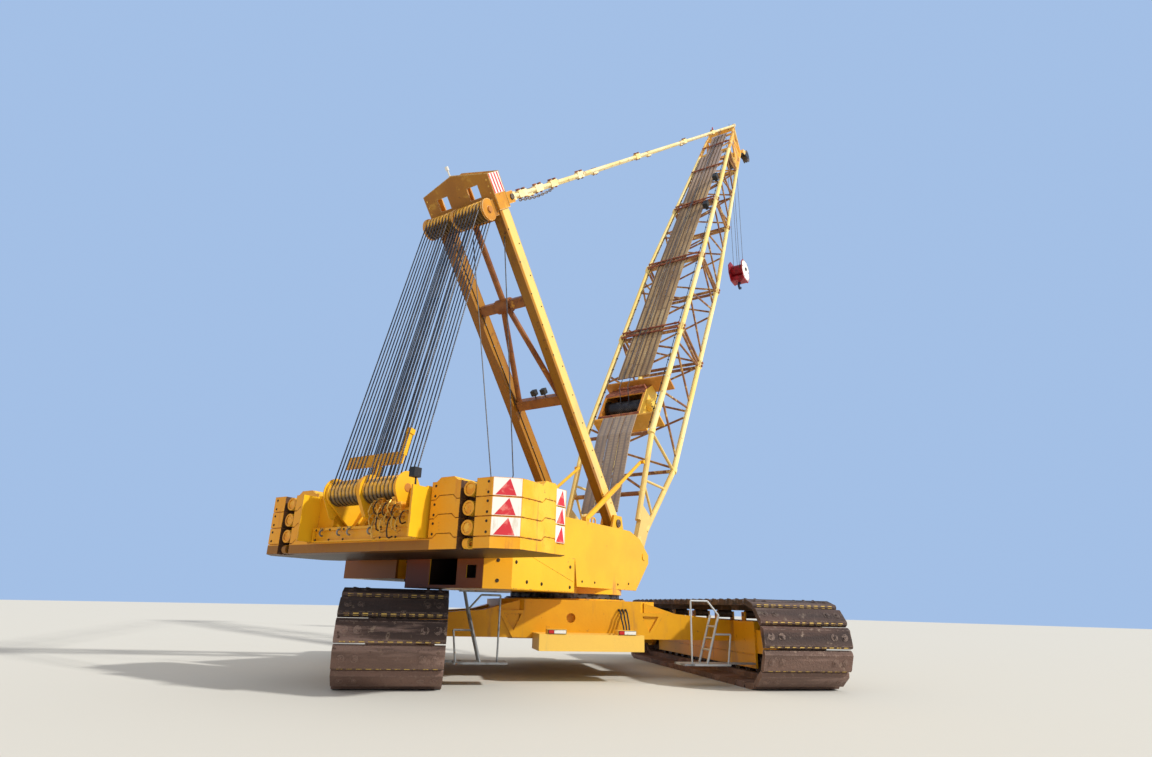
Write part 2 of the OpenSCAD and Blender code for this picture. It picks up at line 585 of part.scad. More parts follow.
// Mast
module mast_leg() color("gold") on_mast() difference() {
    union() {
        translate([0, mast_w / 2 - leg_w / 2, -leg_d / 2]) cube([mast_len + 230, leg_w, leg_d]);
        shaft(0, 0, leg_w, 230, mast_w / 2);
    }
    shaft(0, 0, 2 * mast_w, mast_pin_r + seat);
}
mast_in = mast_w / 2 - leg_w / 2;
mast_out = mast_w / 2 + leg_w / 2;
beam_a = [3950, 6750];
module mast_bracing() color("gold") on_mast() {
    for (a = beam_a) translate([a - 130, -mast_in, -130]) cube([260, 2 * mast_in, 260]);
    tube([beam_a[1], 0, 0], [mast_len - 301, 0, 0], 80);
    for (y = [-1, 1]) tube([beam_a[1], y * 60, 0], [beam_a[0] + 100, y * (mast_in - 90), 0], 75);
    shaft(beam_a[1], 0, 420, 190);
}
head_half = mast_out + 40;
module mast_head() color("goldenrod") on_mast() {
    translate([mast_len - 300, -mast_in, -150]) cube([260, 2 * mast_in, 300]);
    // Rear plate with its two square windows, and the front plate
    for (face = [[-leg_d / 2 - 50, 760, 460], [leg_d / 2 + 10, 340, 300]])
    translate([0, 0, face[0]]) difference() {
        linear_extrude(40) polygon([[mast_len - 100, -head_half], [mast_len + 800, -head_half],
            [mast_len + 1040, 0], [mast_len + 800, head_half], [mast_len - 100, head_half]]);
        for (y = [-1, 1]) translate([mast_len + 480 - face[2] / 2, y * 480 - face[1] / 2, -1])
            cube([face[2], face[1], 42]);
    }
    // Web between the two plates
    translate([mast_len - 100, -25, -leg_d / 2 - 11]) cube([1050, 50, leg_d + 22]);
    both_sides() {
        translate([mast_len - 100, mast_out + seat, -leg_d / 2 - 50]) cube([900, 40, leg_d + 100]);
        translate([pendant_pin_a - 150, mast_out + seat, pendant_pin_b - 105]) cube([300, 40, 475]);
        shaft(pendant_pin_a, pendant_pin_b, 110, 45, mast_out + seat - 15);
    }
    // Plates that carry the sheaves
    for (y = nest_plates) difference() {
        union() {
            shaft(mast_len, nest_b, nest_plate_t, sheave_r + 20, y);
            translate([mast_len - 200, y - nest_plate_t / 2, leg_d / 2])
                cube([400, nest_plate_t, nest_b - leg_d / 2]);
        }
        shaft(mast_len, nest_b, 4000, nest_shaft_r + seat);
    }
}
// Pendants: bars joined by forked links, open at the boom head
pendant_y = [mast_out - side_gap - 30, tip_w / 2 + 75];
tip_point = boom_point(pendant_tip_s, pendant_tip_b);
head_point = [mast_pin[0] + pendant_pin_a * cos(mast_angle) - pendant_pin_b * sin(mast_angle),
              mast_pin[1] + pendant_pin_a * sin(mast_angle) + pendant_pin_b * cos(mast_angle)];
pendant_run = tip_point - head_point;
pendant_len = norm(pendant_run);
pendant_dir = atan2(pendant_run[1], pendant_run[0]);
joint_at = [0.02, 0.055, 0.09, 0.16, 0.36, 0.6, 0.8];
module pendants() color("khaki") translate([head_point[0], 0, head_point[1]])
rotate([0, -pendant_dir, 0]) both_sides() {
    a = [130, pendant_y[0], 0];
    b = [pendant_len - 160, pendant_y[1], 0];
    difference() {
        union() {
            tube(a, b, 58);
            translate([-120, pendant_y[0] - 30, -110]) cube([420, 60, 220]);
        }
        shaft(0, 0, 4000, 45 + seat);
    }
    for (k = joint_at) {
        p = a + (b - a) * k;
        translate(p - [210, 62, 92]) cube([420, 124, 184]);
        translate(p + [-60, 0, -110]) cylinder(h = 220, r = 45, $fn = 24);
    }
    translate([pendant_len - 420, pendant_y[1] - 35, -80]) cube([400, 70, 160]);
}
// Falls of the luffing rope: every second one belongs to the lower set
function fall_y(i) = nest_gap / 2 + (i + 0.5) * sheave_pitch;
module falls(set) for (i = [0:nest_count - 1], m = [-1, 1], side = [0, 1]) if ((i + side) % 2 == set)
    translate([set == 0 ? 0 : 70, m * fall_y(i), (side * 2 - 1) * fall_off]) rotate([0, 90, 0])
        cylinder(h = rope_len - 70, r = rope_r, $fn = 12);
module lower_ropes() color("dimgray") at_ropes() falls(0);
module upper_ropes() color("dimgray") at_ropes() falls(1);

// Boom lattice between two stations, each [s, width, depth], split into bays.
// Bays below open_bays have no lacing on the rear face.
module lattice(p, q, bays, open_bays = 0) {
    function at(k) = p + (q - p) * k;
    function corner(k, y, b) = [at(k)[0], y * at(k)[1] / 2, b * at(k)[2] / 2];
    for (y = [-1, 1], b = [-1, 1]) tube(corner(0, y, b), corner(1, y, b), chord_r);
    inset = 0.09 / bays;
    for (i = [0:bays - 1]) {
        k0 = i / bays + inset;
        k1 = (i + 1) / bays - inset;
        e = i % 2 == 0 ? 1 : -1;
        for (b = i < open_bays ? [-1] : [-1, 1]) tube(corner(k0, e * b, b), corner(k1, -e * b, b), lace_r);
        for (y = [-1, 1]) tube(corner(k0 + 0.3 / bays, y, e * y),
            corner(min(k1 + 0.3 / bays, 1 - inset), y, -e * y), lace_r);
    }
}
// Square frame of cross tubes at one station
module cross_frame(p) for (e = [-1, 1]) {
    tube([p[0], -p[1] / 2, e * p[2] / 2], [p[0], p[1] / 2, e * p[2] / 2], lace_r + 22);
    tube([p[0], e * p[1] / 2, -p[2] / 2], [p[0], e * p[1] / 2, p[2] / 2], lace_r + 12);
}
// Pinned ends of the four chords where two sections meet, on the side e of station s
module chord_ends(s, e) for (y = [-1, 1], b = [-1, 1])
    translate([e < 0 ? s - 170 : s, y * boom_w / 2 - chord_r - 8, b * boom_d / 2 - chord_r + 12])
        cube([170, 2 * chord_r + 16, 2 * chord_r - 24]);
module boom_foot() color("khaki") on_boom() {
    both_sides() difference() {
        union() {
            shaft(0, 0, lug_t, 230, boom_w / 2);
            plate(boom_w / 2 - lug_t / 2, boom_w / 2 + lug_t / 2, [[0, -210], [plate_s, -230],
                [plate_s + 500, -260], [plate_s + 500, 480], [plate_s, 330], [0, 220]]);
            for (e = [[380, 1], [-170, -1]]) {
                tube([plate_s, boom_w / 2, e[0]], [taper_s + 40, boom_w / 2, e[1] * boom_d / 2], chord_r - 8);
                translate([taper_s - 60, boom_w / 2, e[1] * boom_d / 2]) rotate([0, 90, 0])
                    cylinder(h = 160, r = chord_r + 18, $fn = 12);
            }
        }
        shaft(0, 0, 4 * boom_w, boom_pin_r + seat);
    }
    lattice([taper_s, boom_w, boom_d], [foot_len - seat, boom_w, boom_d], 4, 2);
    chord_ends(foot_len - seat, -1);
    cross_frame([taper_s, boom_w, boom_d]);
    cross_frame([foot_len - frame_off, boom_w, boom_d]);
    both_sides() {
        tube([2300, boom_w / 2, 640], [3000, boom_w / 2, -660], lace_r);
        tube([1700, boom_w / 2, -320], [2200, boom_w / 2, 600], lace_r);
    }
    tube([1900, -boom_w / 2, 510], [1900, boom_w / 2, 510], lace_r + 30);
    tube([2000, -boom_w / 2, 560], [3700, boom_w / 2, 880], lace_r);
    // Cross beams that carry the hoist winch
    for (s = winch_s) translate([s - 60, -boom_w / 2, winch_beam_b[0]])
        cube([60, boom_w, winch_beam_b[1] - winch_beam_b[0]]);
}
module boom_middle() color("khaki") on_boom() {
    lattice([foot_len, boom_w, boom_d], [top_s - seat, boom_w, boom_d], 3);
    chord_ends(foot_len, 1);
    chord_ends(top_s - seat, -1);
    cross_frame([foot_len + frame_off, boom_w, boom_d]);
    cross_frame([top_s - frame_off, boom_w, boom_d]);
}
// Chord spacing across the machine and over the depth, above the middle section
function width_at(s) = boom_w + (tip_w - boom_w) * (s - top_s) / (chord_end_s - top_s);
function depth_at(s) = boom_d + (tip_d - boom_d) * (s - top_s) / (chord_end_s - top_s);
function station(s) = [s, width_at(s), depth_at(s)];
// The tilted ends of the tapered chords start this far above the joint
taper_gap = 12;
head_s = boom_len - 2900;
chord_end_s = boom_len - 600;
head_run = chord_end_s - head_s;
side_taper = atan((boom_w - tip_w) / 2 / (chord_end_s - top_s));
module boom_top() color("khaki") on_boom() {
    lattice(station(top_s + taper_gap), station(head_s - seat), 8);
    chord_ends(top_s, 1);
    for (s = [top_s + frame_off, top_joint_s - frame_off, top_joint_s + frame_off, (top_joint_s + head_s) / 2,
        head_s - frame_off]) cross_frame(station(s));
    for (y = [-1, 1], b = [-1, 1]) translate([top_joint_s - 150, y * width_at(top_joint_s) / 2 - chord_r - 8,
        b * depth_at(top_joint_s) / 2 - chord_r + 4]) cube([300, 2 * chord_r + 16, 2 * chord_r - 8]);
}
// Head of the boom: plated sides, chords that close on the head beam, and the
// cheeks of the head sheaves and of the side sheave
head_beam = [boom_len + 130, 640];
beam_half = 110;
cheek_t = 50;
module boom_tip() color("gold") on_boom() {
    lattice(station(head_s), station(chord_end_s), 2);
    for (s = [head_s + frame_off, chord_end_s - 60]) cross_frame(station(s));
    both_sides() {
        // Plated side between the chords, narrower towards the boom foot
        translate([head_s, width_at(head_s) / 2, 0]) rotate([0, 0, -side_taper]) plate(-8, 8, [
            [60, -depth_at(head_s) / 2], [60, -depth_at(head_s) / 2 + 260], [head_run - 200, tip_d / 2 - 40],
            [head_run, tip_d / 2], [head_run, -tip_d / 2]]);
        // Rear chords run on to the head beam and the front chords close on it
        tube([chord_end_s - 40, tip_w / 2, tip_d / 2],
            [head_beam[0], tip_w / 2 - 100, head_beam[1]], chord_r - 15);
        tube([chord_end_s - 40, tip_w / 2, -tip_d / 2],
            [head_beam[0], tip_w / 2 - 60, head_beam[1] - 40], chord_r - 20);
        // Cheek that carries the head sheaves
        difference() {
            plate(cheek_y, cheek_y + cheek_t, [[tip_axis[0] - 240, tip_axis[1] - 180],
                [tip_axis[0] + 240, tip_axis[1] - 150], [tip_axis[0] + 230, tip_axis[1] + 150],
                [chord_end_s + 260, -tip_d / 2 + 60], [chord_end_s - 130, -tip_d / 2 + 60]]);
            shaft(tip_axis[0], tip_axis[1], 4000, tip_shaft_r + seat);
        }
        // Lug of the pendant
        difference() {
            plate(tip_w / 2 - 60, tip_w / 2 - 10, [[head_beam[0] - 200, head_beam[1]],
                [head_beam[0] + 160, head_beam[1]], [pendant_tip_s + 60, pendant_tip_b + 90],
                [pendant_tip_s - 160, pendant_tip_b + 90]]);
            shaft(pendant_tip_s - 40, pendant_tip_b + 20, 4000, 35);
        }
    }
    translate([head_beam[0] - beam_half, -tip_w / 2, head_beam[1] - beam_half])
        cube([2 * beam_half, tip_w, 2 * beam_half]);
    translate([chord_end_s - 130, -tip_w / 2, -tip_d / 2 - 20]) cube([400, tip_w, 60]);
    // Cheeks of the side sheave on the right
    for (e = [-1, 1]) let(y = side_sheave_y + e * (side_sheave_w / 2 + seat + 20)) difference() {
        plate(y - 20, y + 20, [[side_axis[0] - 130, side_axis[1] - 120],
            [side_axis[0] + 130, side_axis[1] - 120], [side_axis[0] + 130, side_axis[1] + 100],
            [chord_end_s + 240, -tip_d / 2 + 40], [chord_end_s - 80, -tip_d / 2 + 40]]);
        shaft(side_axis[0], side_axis[1], 4000, 40 + seat);
    }
    translate([chord_end_s - 80, side_base_y, -tip_d / 2 - 20])
        cube([320, 100 - tip_w / 2 - side_base_y, 60]);
}
module tip_sheaves() color("dimgray") on_boom() {
    translate([side_axis[0], side_sheave_y, side_axis[1]]) rotate([90, 0, 0]) {
        for (m = [-1, 1]) translate([0, 0, m * 65]) rotate_extrude($fn = 64) polygon([[0, -64],
            [tip_sheave_r - 20, -64], [tip_sheave_r - 60, -20], [tip_sheave_r - 60, 20],
            [tip_sheave_r - 20, 64], [0, 64]]);
        cylinder(h = side_sheave_w + 100, r = 40, center = true);
    }
    translate([tip_axis[0], 0, tip_axis[1]]) rotate([90, 0, 0])
    for (m = [0, 1]) mirror([0, 0, m]) rotate_extrude($fn = 64) polygon(concat(
        [[0, 0], [tip_sheave_r, 0]],
        [for (i = [0:tip_count / 2 - 1]) let(y = (i + 0.5) * tip_pitch)
            each [[tip_sheave_r, y - 26], [tip_groove_r, y - 16], [tip_groove_r, y + 16],
                [tip_sheave_r, y + 26]]],
        [[tip_sheave_r, tip_count / 2 * tip_pitch], [tip_shaft_r, tip_count / 2 * tip_pitch],
         [tip_shaft_r, cheek_y + cheek_t + 20], [0, cheek_y + cheek_t + 20]]));
}
walk_y = [-550, 750];
walk_w = 400;
walk_runs = [[1250, taper_s], [taper_s, winch_s[0] - 120], [winch_s[1] + 60, top_s], [top_s, head_s - 200]];
// Height of the seat of the walkway over the boom's centre line
foot_slope = (boom_d / 2 - 380) / (taper_s - plate_s);
function face_b(s) = lace_r + 22 + seat + (s < taper_s ? 380 + foot_slope * (s - plate_s)
    : s < top_s ? boom_d / 2 : depth_at(s) / 2);
board_t = 40;
board_gap = 0.4;
module boom_walkway() color("tan") on_boom()
for (run = walk_runs, k = [0:2]) let(p = run[0] + board_gap, q = run[1] - board_gap)
    translate([0, walk_y[0] + k * (walk_y[1] - walk_y[0]) / 3, 0]) plate(0, walk_w,
        [[p, face_b(p)], [q, face_b(q)], [q, face_b(q) + board_t], [p, face_b(p) + board_t]]);
// Hoist winch: a hood with an open rear window, carried by two cross beams
winch_c = [5800, 480];
hood_y = [-520, 1080];
hood_t = 30;
hood = [[winch_s[0] + seat, 120], [winch_s[0] + seat, 860], [winch_s[0] + 100, 915],
    [winch_s[1] - 570, 915], [winch_s[1] - 60 - seat, 640], [winch_s[1] - 60 - seat, 120]];
hood_hole = [[winch_s[0] + 30, 119], [winch_s[0] + 30, 850], [winch_s[0] + 130, 885],
    [winch_s[1] - 590, 885], [winch_s[1] - 92, 620], [winch_s[1] - 92, 119]];
drum_r = 260;
module hoist_winch() color("gold") on_boom() {
    difference() {
        plate(hood_y[0], hood_y[1], hood);
        plate(hood_y[0] + hood_t, hood_y[1] - hood_t, hood_hole);
        translate([5120, hood_y[0] + 90, 860]) cube([900, hood_y[1] - hood_y[0] - 180, 100]);
        shaft(winch_c[0], winch_c[1], 6000, 90 + seat);
    }
    y = (hood_y[0] + hood_y[1]) / 2;
    shaft(winch_c[0], winch_c[1], hood_y[1] - hood_y[0] + 220, 90, y - 50);
    shaft(winch_c[0], winch_c[1], hood_y[1] - hood_y[0] - 2 * hood_t - 160, drum_r, y);
    rim_y = (hood_y[1] - hood_y[0]) / 2 - hood_t - 60;
    for (e = [-1, 1]) shaft(winch_c[0], winch_c[1], 40, drum_r + 90, y + e * rim_y);
    // Gear case of the drum on the right
    shaft(winch_c[0], winch_c[1], 190, 230, hood_y[0] - 105);
}
stop_y = 1110;
stop_s = [2800, 900];
stop_top = boom_point(stop_s[0], stop_s[1]);
stop_foot = [-830, frame_z1 + 29 + seat];
module backstops() color("gold") both_sides() {
    p = [stop_foot[0], stop_y, stop_foot[1] + 100];
    q = [stop_top[0], stop_y, stop_top[1]];
    tube(p, p + (q - p) * 0.55, 75);
    tube(p + (q - p) * 0.5, q, 50);
    translate([stop_foot[0] - 90, stop_y - 60, stop_foot[1]]) cube([180, 120, 170]);
    tube(q, [stop_top[0], boom_w / 2, stop_top[1]], 60);
}
// Hook block and its falls hang plumb below the head sheaves
hook_x = boom_point(tip_axis[0], tip_axis[1])[0];
hook_z = boom_point(tip_axis[0], tip_axis[1])[1] - hook_drop;
hook_fall_x = tip_groove_r + 12 + seat;
hook_fall_y = 1.5 * tip_pitch;
module hook_ropes() color("dimgray") for (e = [-1, 1], y = [-1, 1])
    translate([hook_x + e * hook_fall_x, y * hook_fall_y, hook_z]) cylinder(h = hook_drop, r = 12);
hook_half = 390;
cheek_in = hook_half - 60;
module hook_block() color("darkred") translate([hook_x, 0, hook_z]) {
    both_sides() difference() {
        plate(cheek_in, hook_half, [[-330, 500], [330, 500], [650, 180], [650, -300],
            [360, -700], [-360, -700], [-650, -300], [-650, 180]]);
        shaft(0, 0, 4000, 70 + seat);
    }
    difference() {
        shaft(0, 0, 2 * (cheek_in - seat), hook_fall_x - 12 - seat);
        shaft(0, 0, 1000, 69);
    }
    shaft(0, 0, 2 * hook_half + 60, 70);
    translate([-300, -cheek_in - 1, -700]) cube([600, 2 * cheek_in + 2, 260]);
    translate([0, 0, -830]) cylinder(h = 150, r = 80);
    translate([0, 50, -960]) rotate([90, 0, 0]) difference() {
        cylinder(h = 100, r = 190);
        translate([0, 0, -1]) cylinder(h = 102, r = 95);
        translate([0, 0, -1]) cube([400, 400, 102]);
    }
}
// Step ladders on the inner sides of the tracks, drawn for the left side
ladder_u = [-3650, -3200];
ladder_foot = [2460, 450];
ladder_top = [2760, 1450];
rail_r = 20;
platform_z = deck_z0 - 60;
// Foot board, handrail hoop and bar: distances from the machine's centre line and heights
board_v = [1900, 2980];
hoop_v = [2110, 2510];
hoop_z = 1740;
bar_v = [2640, 3030];
bar_z = 1050;
module step_ladder() color("silver") {
    for (u = ladder_u)
        tube([u, ladder_foot[0], ladder_foot[1]], [u, ladder_top[0], ladder_top[1]], rail_r + 8);
    for (k = [0.28, 0.52, 0.76]) {
        v = ladder_foot + (ladder_top - ladder_foot) * k;
        tube([ladder_u[0], v[0], v[1]], [ladder_u[1], v[0], v[1]], rail_r);
    }
    translate([ladder_u[0] - 80, board_v[0], ladder_foot[1] - 40])
        cube([ladder_u[1] - ladder_u[0] + 160, board_v[1] - board_v[0], 40]);
    // Handrails: a hoop on the inner side and a bar towards the track
    u = ladder_u[0];
    tube([u, hoop_v[0], ladder_foot[1] - 5], [u, hoop_v[0], hoop_z], rail_r);
    tube([u, hoop_v[0], hoop_z], [u, hoop_v[1], hoop_z], rail_r);
    tube([u, hoop_v[1], hoop_z], [u, ladder_top[0], ladder_top[1]], rail_r);
    tube([u, bar_v[0], bar_z], [u, bar_v[1], bar_z], rail_r);
    tube([u, bar_v[1], bar_z], [u, board_v[1] - 30, ladder_foot[1] - 5], rail_r);
    // Brackets to the side frame
    for (d = [-60, 50]) translate([ladder_u[1] + d - 30, ladder_foot[0] + 60, ladder_foot[1] - 39])
        cube([60, track_gauge / 2 - side_frame_w / 2 - seat - ladder_foot[0] - 60, 38]);
}
// The left ladder also carries a platform below the slewing deck
module step_ladders() in_tracks() {
    both_sides() step_ladder();
    color("silver") {
        for (u = ladder_u)
            tube([u, ladder_top[0], ladder_top[1]], [u, ladder_top[0] + 90, platform_z + 5], rail_r);
        translate([ladder_u[0] - 80, board_v[0], platform_z])
            cube([ladder_u[1] - ladder_u[0] + 160, board_v[1] - board_v[0] - 30, 30]);
    }
}
// Lamps: two on the lower crossbeam of the mast and one on the hub of its braces
module mast_lamps() color("black") on_mast() {
    for (y = [60, -250]) translate([beam_a[0] + 130 + seat, y, -40]) {
        translate([0, 30, 30]) rotate([0, 90, 0]) cylinder(h = 90, r = 18);
        translate([80, -40, -40]) cube([150, 140, 150]);
    }
}
module tail_lamp() color("black")
    translate([-tail_r - wing_len + 60, wing_t / 2 - frame_half, frame_z1 - wing_drop + seat]) {
        cylinder(h = 140, r = 16);
        translate([-110, -65, 130]) cube([170, 130, 170]);
    }

carbody();
slew_ring();
on_side(1) track_frame();  // track_frame_left
on_side(-1) track_frame();  // track_frame_right
on_side(1) track();  // track_left
on_side(-1) track();  // track_right
on_side(1) track_wheels();  // track_wheels_left
on_side(-1) track_wheels();  // track_wheels_right
track_drives();
end_boxes();
main_frame();
slewing_base();
counterweight_tray();
stack();  // counterweight_left
mirror([0, 1, 0]) stack();  // counterweight_right
tail_brackets();
lower_sheaves();
rope_guide();
luffing_winch();
engine_house();
engine();
cab_body();
cab_door();
cab_seat();
mast_leg();  // mast_leg_left
mirror([0, 1, 0]) mast_leg();  // mast_leg_right
mast_bracing();
mast_head();
upper_sheaves();
pendants();
lower_ropes();
upper_ropes();
boom_foot();
boom_middle();
boom_top();
boom_tip();
tip_sheaves();
boom_walkway();
hoist_winch();
backstops();
hook_block();
hook_ropes();
step_ladders();
mast_lamps();
tail_lamp();
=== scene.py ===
import json
import math

import bmesh
import bpy
from mathutils import Matrix, Vector


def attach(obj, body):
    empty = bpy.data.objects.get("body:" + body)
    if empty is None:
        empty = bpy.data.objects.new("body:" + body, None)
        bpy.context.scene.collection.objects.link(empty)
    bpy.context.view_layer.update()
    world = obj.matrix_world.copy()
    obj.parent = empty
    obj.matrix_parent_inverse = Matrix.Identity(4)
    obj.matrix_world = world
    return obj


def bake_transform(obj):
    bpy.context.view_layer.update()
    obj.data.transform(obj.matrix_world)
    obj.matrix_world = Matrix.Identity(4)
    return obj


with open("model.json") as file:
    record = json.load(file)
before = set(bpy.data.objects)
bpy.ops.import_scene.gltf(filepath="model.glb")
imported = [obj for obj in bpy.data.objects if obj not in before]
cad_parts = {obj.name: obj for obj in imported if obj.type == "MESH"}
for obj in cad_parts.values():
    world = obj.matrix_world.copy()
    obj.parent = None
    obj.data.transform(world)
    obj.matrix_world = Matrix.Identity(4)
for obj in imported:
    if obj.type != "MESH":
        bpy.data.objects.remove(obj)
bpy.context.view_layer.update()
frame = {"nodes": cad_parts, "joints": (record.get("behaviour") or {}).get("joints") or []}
pivot = {joint["name"]: Vector(joint["pos_m"]) for joint in frame["joints"]}
scene = bpy.context.scene
scene.view_settings.view_transform = "Standard"

# Camera: a phone lens from low behind the right rear corner, tilted up at the boom.
# The place, heading and lens were fitted to points on the tracks, mast and boom.
CAMERA_PLACE = (-15.68, -10.00, 1.58)
heading, pitch, roll = (math.radians(a) for a in (32.05, 18.95, 1.46))
camera_data = bpy.data.cameras.new("photo_camera")
camera_data.sensor_width = 36
camera_data.lens = 20.645
camera_data.clip_end = 400
camera = bpy.data.objects.new("photo_camera", camera_data)
scene.collection.objects.link(camera)
scene.camera = camera
level_ahead = Vector((math.cos(heading), math.sin(heading), 0))
level_right = Vector((math.sin(heading), -math.cos(heading), 0))
ahead = level_ahead * math.cos(pitch) + Vector((0, 0, math.sin(pitch)))
level_up = level_right.cross(ahead)
cam_right = level_right * math.cos(roll) + level_up * math.sin(roll)
cam_up = level_up * math.cos(roll) - level_right * math.sin(roll)
view_axes = Matrix((cam_right, cam_up, -ahead)).transposed().to_4x4()
camera.matrix_world = Matrix.Translation(CAMERA_PLACE) @ view_axes


# Floor and light: a pale floor under a soft sky, with one broad high lamp from the right,
# where the sun stood. The sky shows pale blue to the camera and in the metal.
def node(tree, kind, inputs=(), **settings):
    """Adds a shader node. Each input takes a value, or another node's output."""
    made = tree.nodes.new("ShaderNode" + kind)
    for key, value in settings.items():
        setattr(made, key, value)
    for key, value in dict(inputs).items():
        if isinstance(value, bpy.types.NodeSocket):
            tree.links.new(value, made.inputs[key])
        else:
            made.inputs[key].default_value = value
    return made


def sums(tree, operation, *terms):
    """The result of one maths node for its terms."""
    return node(tree, "Math", dict(enumerate(terms)), operation=operation).outputs[0]


FLOOR_REACH = 150
SKY_LIGHT, SKY_LIGHT_STRENGTH = (1, 0.95, 0.90, 1), 0.70
SKY_BLUE, SKY_BLUE_STRENGTH = (0.40, 0.57, 0.86, 1), 0.92
floor_mesh = bpy.data.meshes.new("floor")
floor_corners = [(x * FLOOR_REACH, y * FLOOR_REACH, 0) for x, y in ((-1, -1), (1, -1), (1, 1), (-1, 1))]
floor_mesh.from_pydata(floor_corners, [], [(0, 1, 2, 3)])
floor = bpy.data.objects.new("floor", floor_mesh)
scene.collection.objects.link(floor)
floor_mat = bpy.data.materials.new("pale_floor")
floor_mat.use_nodes = True
floor_shader = floor_mat.node_tree.nodes["Principled BSDF"]
floor_shader.inputs["Base Color"].default_value = (0.60, 0.60, 0.57, 1)
floor_shader.inputs["Roughness"].default_value = 0.9
floor_mesh.materials.append(floor_mat)
world = bpy.data.worlds.new("soft_sky")
scene.world = world
world.use_nodes = True
tree = world.node_tree
light_path = node(tree, "LightPath").outputs
seen = sums(tree, "MAXIMUM", light_path["Is Camera Ray"], light_path["Is Glossy Ray"])
light_sky = tree.nodes["Background"]
light_sky.inputs["Color"].default_value = SKY_LIGHT
light_sky.inputs["Strength"].default_value = SKY_LIGHT_STRENGTH
blue_sky = node(tree, "Background", {"Color": SKY_BLUE, "Strength": SKY_BLUE_STRENGTH})
sky = node(tree, "MixShader", {0: seen, 1: light_sky.outputs[0], 2: blue_sky.outputs[0]})
tree.links.new(sky.outputs[0], tree.nodes["World Output"].inputs["Surface"])
sun_data = bpy.data.lights.new("sun", "SUN")
sun_data.energy = 3.35
sun_data.angle = math.radians(3)
sun_data.color = (1, 0.96, 0.88)
sun = bpy.data.objects.new("sun", sun_data)
scene.collection.objects.link(sun)
sun.rotation_euler = Vector((-0.12, 0.80, -0.60)).to_track_quat("-Z", "Y").to_euler()


# Crawler tracks: cast steel shoes on a link chain, brown with rust and dried soil, worn pale
# on some shoes. Each shoe has bolt rings near its ends and a row of link ends at one edge.
def vectors(tree, operation, *terms):
    """The result of one vector maths node for its terms."""
    made = node(tree, "VectorMath", dict(enumerate(terms)), operation=operation)
    return made.outputs["Value" if operation in ("LENGTH", "DOT_PRODUCT") else "Vector"]


def effect(name, output="Mask", **inputs):
    """Starts a node group: returns it with its given values and the socket of its output."""
    group = bpy.data.node_groups.new(name, "ShaderNodeTree")
    for key, value in inputs.items():
        kind = "NodeSocketVector" if isinstance(value, tuple) else "NodeSocketFloat"
        group.interface.new_socket(key, in_out="INPUT", socket_type=kind).default_value = value
    kind = "NodeSocketVector" if output == "Place" else "NodeSocketFloat"
    group.interface.new_socket(output, in_out="OUTPUT", socket_type=kind)
    return group, group.nodes.new("NodeGroupInput").outputs, group.nodes.new("NodeGroupOutput").inputs[output]


EVEN = (1, 1, 1)
ORIGIN = (0, 0, 0)
# Cloudy patches: a mask from 0 to 1 with its own size, share and softness
patches, given, mask = effect(
    "cloudy_patches", Place=ORIGIN, Scale=3.0, Share=0.5, Softness=0.15, Stretch=EVEN)
stretched = vectors(patches, "MULTIPLY", given["Place"], given["Stretch"])
cloud = node(patches, "TexNoise", {
    "Vector": stretched, "Scale": given["Scale"], "Detail": 6, "Roughness": 0.62})
level = node(patches, "MapRange", {
    "Value": cloud.outputs["Fac"],
    "From Min": sums(patches, "SUBTRACT", given["Share"], given["Softness"]),
    "From Max": sums(patches, "ADD", given["Share"], given["Softness"]),
}, interpolation_type="SMOOTHSTEP")
patches.links.new(level.outputs[0], mask)

# Worn edges: a mask along the outer edges, broken up by noise
edges, given, mask = effect("worn_edges", Place=ORIGIN, Radius=0.02, Share=0.5)
rounded = node(edges, "Bevel", {"Radius": given["Radius"]}, samples=4)
facing = node(edges, "NewGeometry").outputs["Normal"]
turned = vectors(edges, "DOT_PRODUCT", rounded.outputs[0], facing)
sharp = node(edges, "MapRange", {"Value": turned, "From Min": 0.995, "From Max": 0.90})
chips = node(edges, "TexNoise", {"Vector": given["Place"], "Scale": 9.0, "Detail": 5, "Roughness": 0.7})
chipped = sums(edges, "LESS_THAN", chips.outputs["Fac"], given["Share"])
edges.links.new(sums(edges, "MULTIPLY", sharp.outputs[0], chipped), mask)

# Turned place: a point in the axes of a turned part, from the part's foot and its turn
turned_place, given, where = effect("turned_place", "Place", Foot=ORIGIN, Turn=ORIGIN)
moved = vectors(turned_place, "SUBTRACT", node(turned_place, "TexCoord").outputs["Object"], given["Foot"])
spin = node(turned_place, "VectorRotate", {
    "Vector": moved, "Rotation": given["Turn"]}, rotation_type="EULER_XYZ")
turned_place.links.new(spin.outputs[0], where)

# Inside box: 1 where Place lies between two corners, fading in from their faces
inside_box, given, mask = effect("inside_box", Place=ORIGIN, Low=ORIGIN, High=EVEN, Fade=0.01, Most=1.0)
above = vectors(inside_box, "SUBTRACT", given["Place"], given["Low"])
below = vectors(inside_box, "SUBTRACT", given["High"], given["Place"])
parts = node(inside_box, "SeparateXYZ", {0: vectors(inside_box, "MINIMUM", above, below)}).outputs
least = sums(inside_box, "MINIMUM", sums(inside_box, "MINIMUM", parts["X"], parts["Y"]), parts["Z"])
ramp = node(inside_box, "MapRange", {"Value": least, "From Max": given["Fade"], "To Max": given["Most"]})
inside_box.links.new(ramp.outputs[0], mask)


def place(tree, group, **inputs):
    """Puts a group in a material. Each input takes a value, or another node's output."""
    return node(tree, "Group", inputs, node_tree=group).outputs[0]


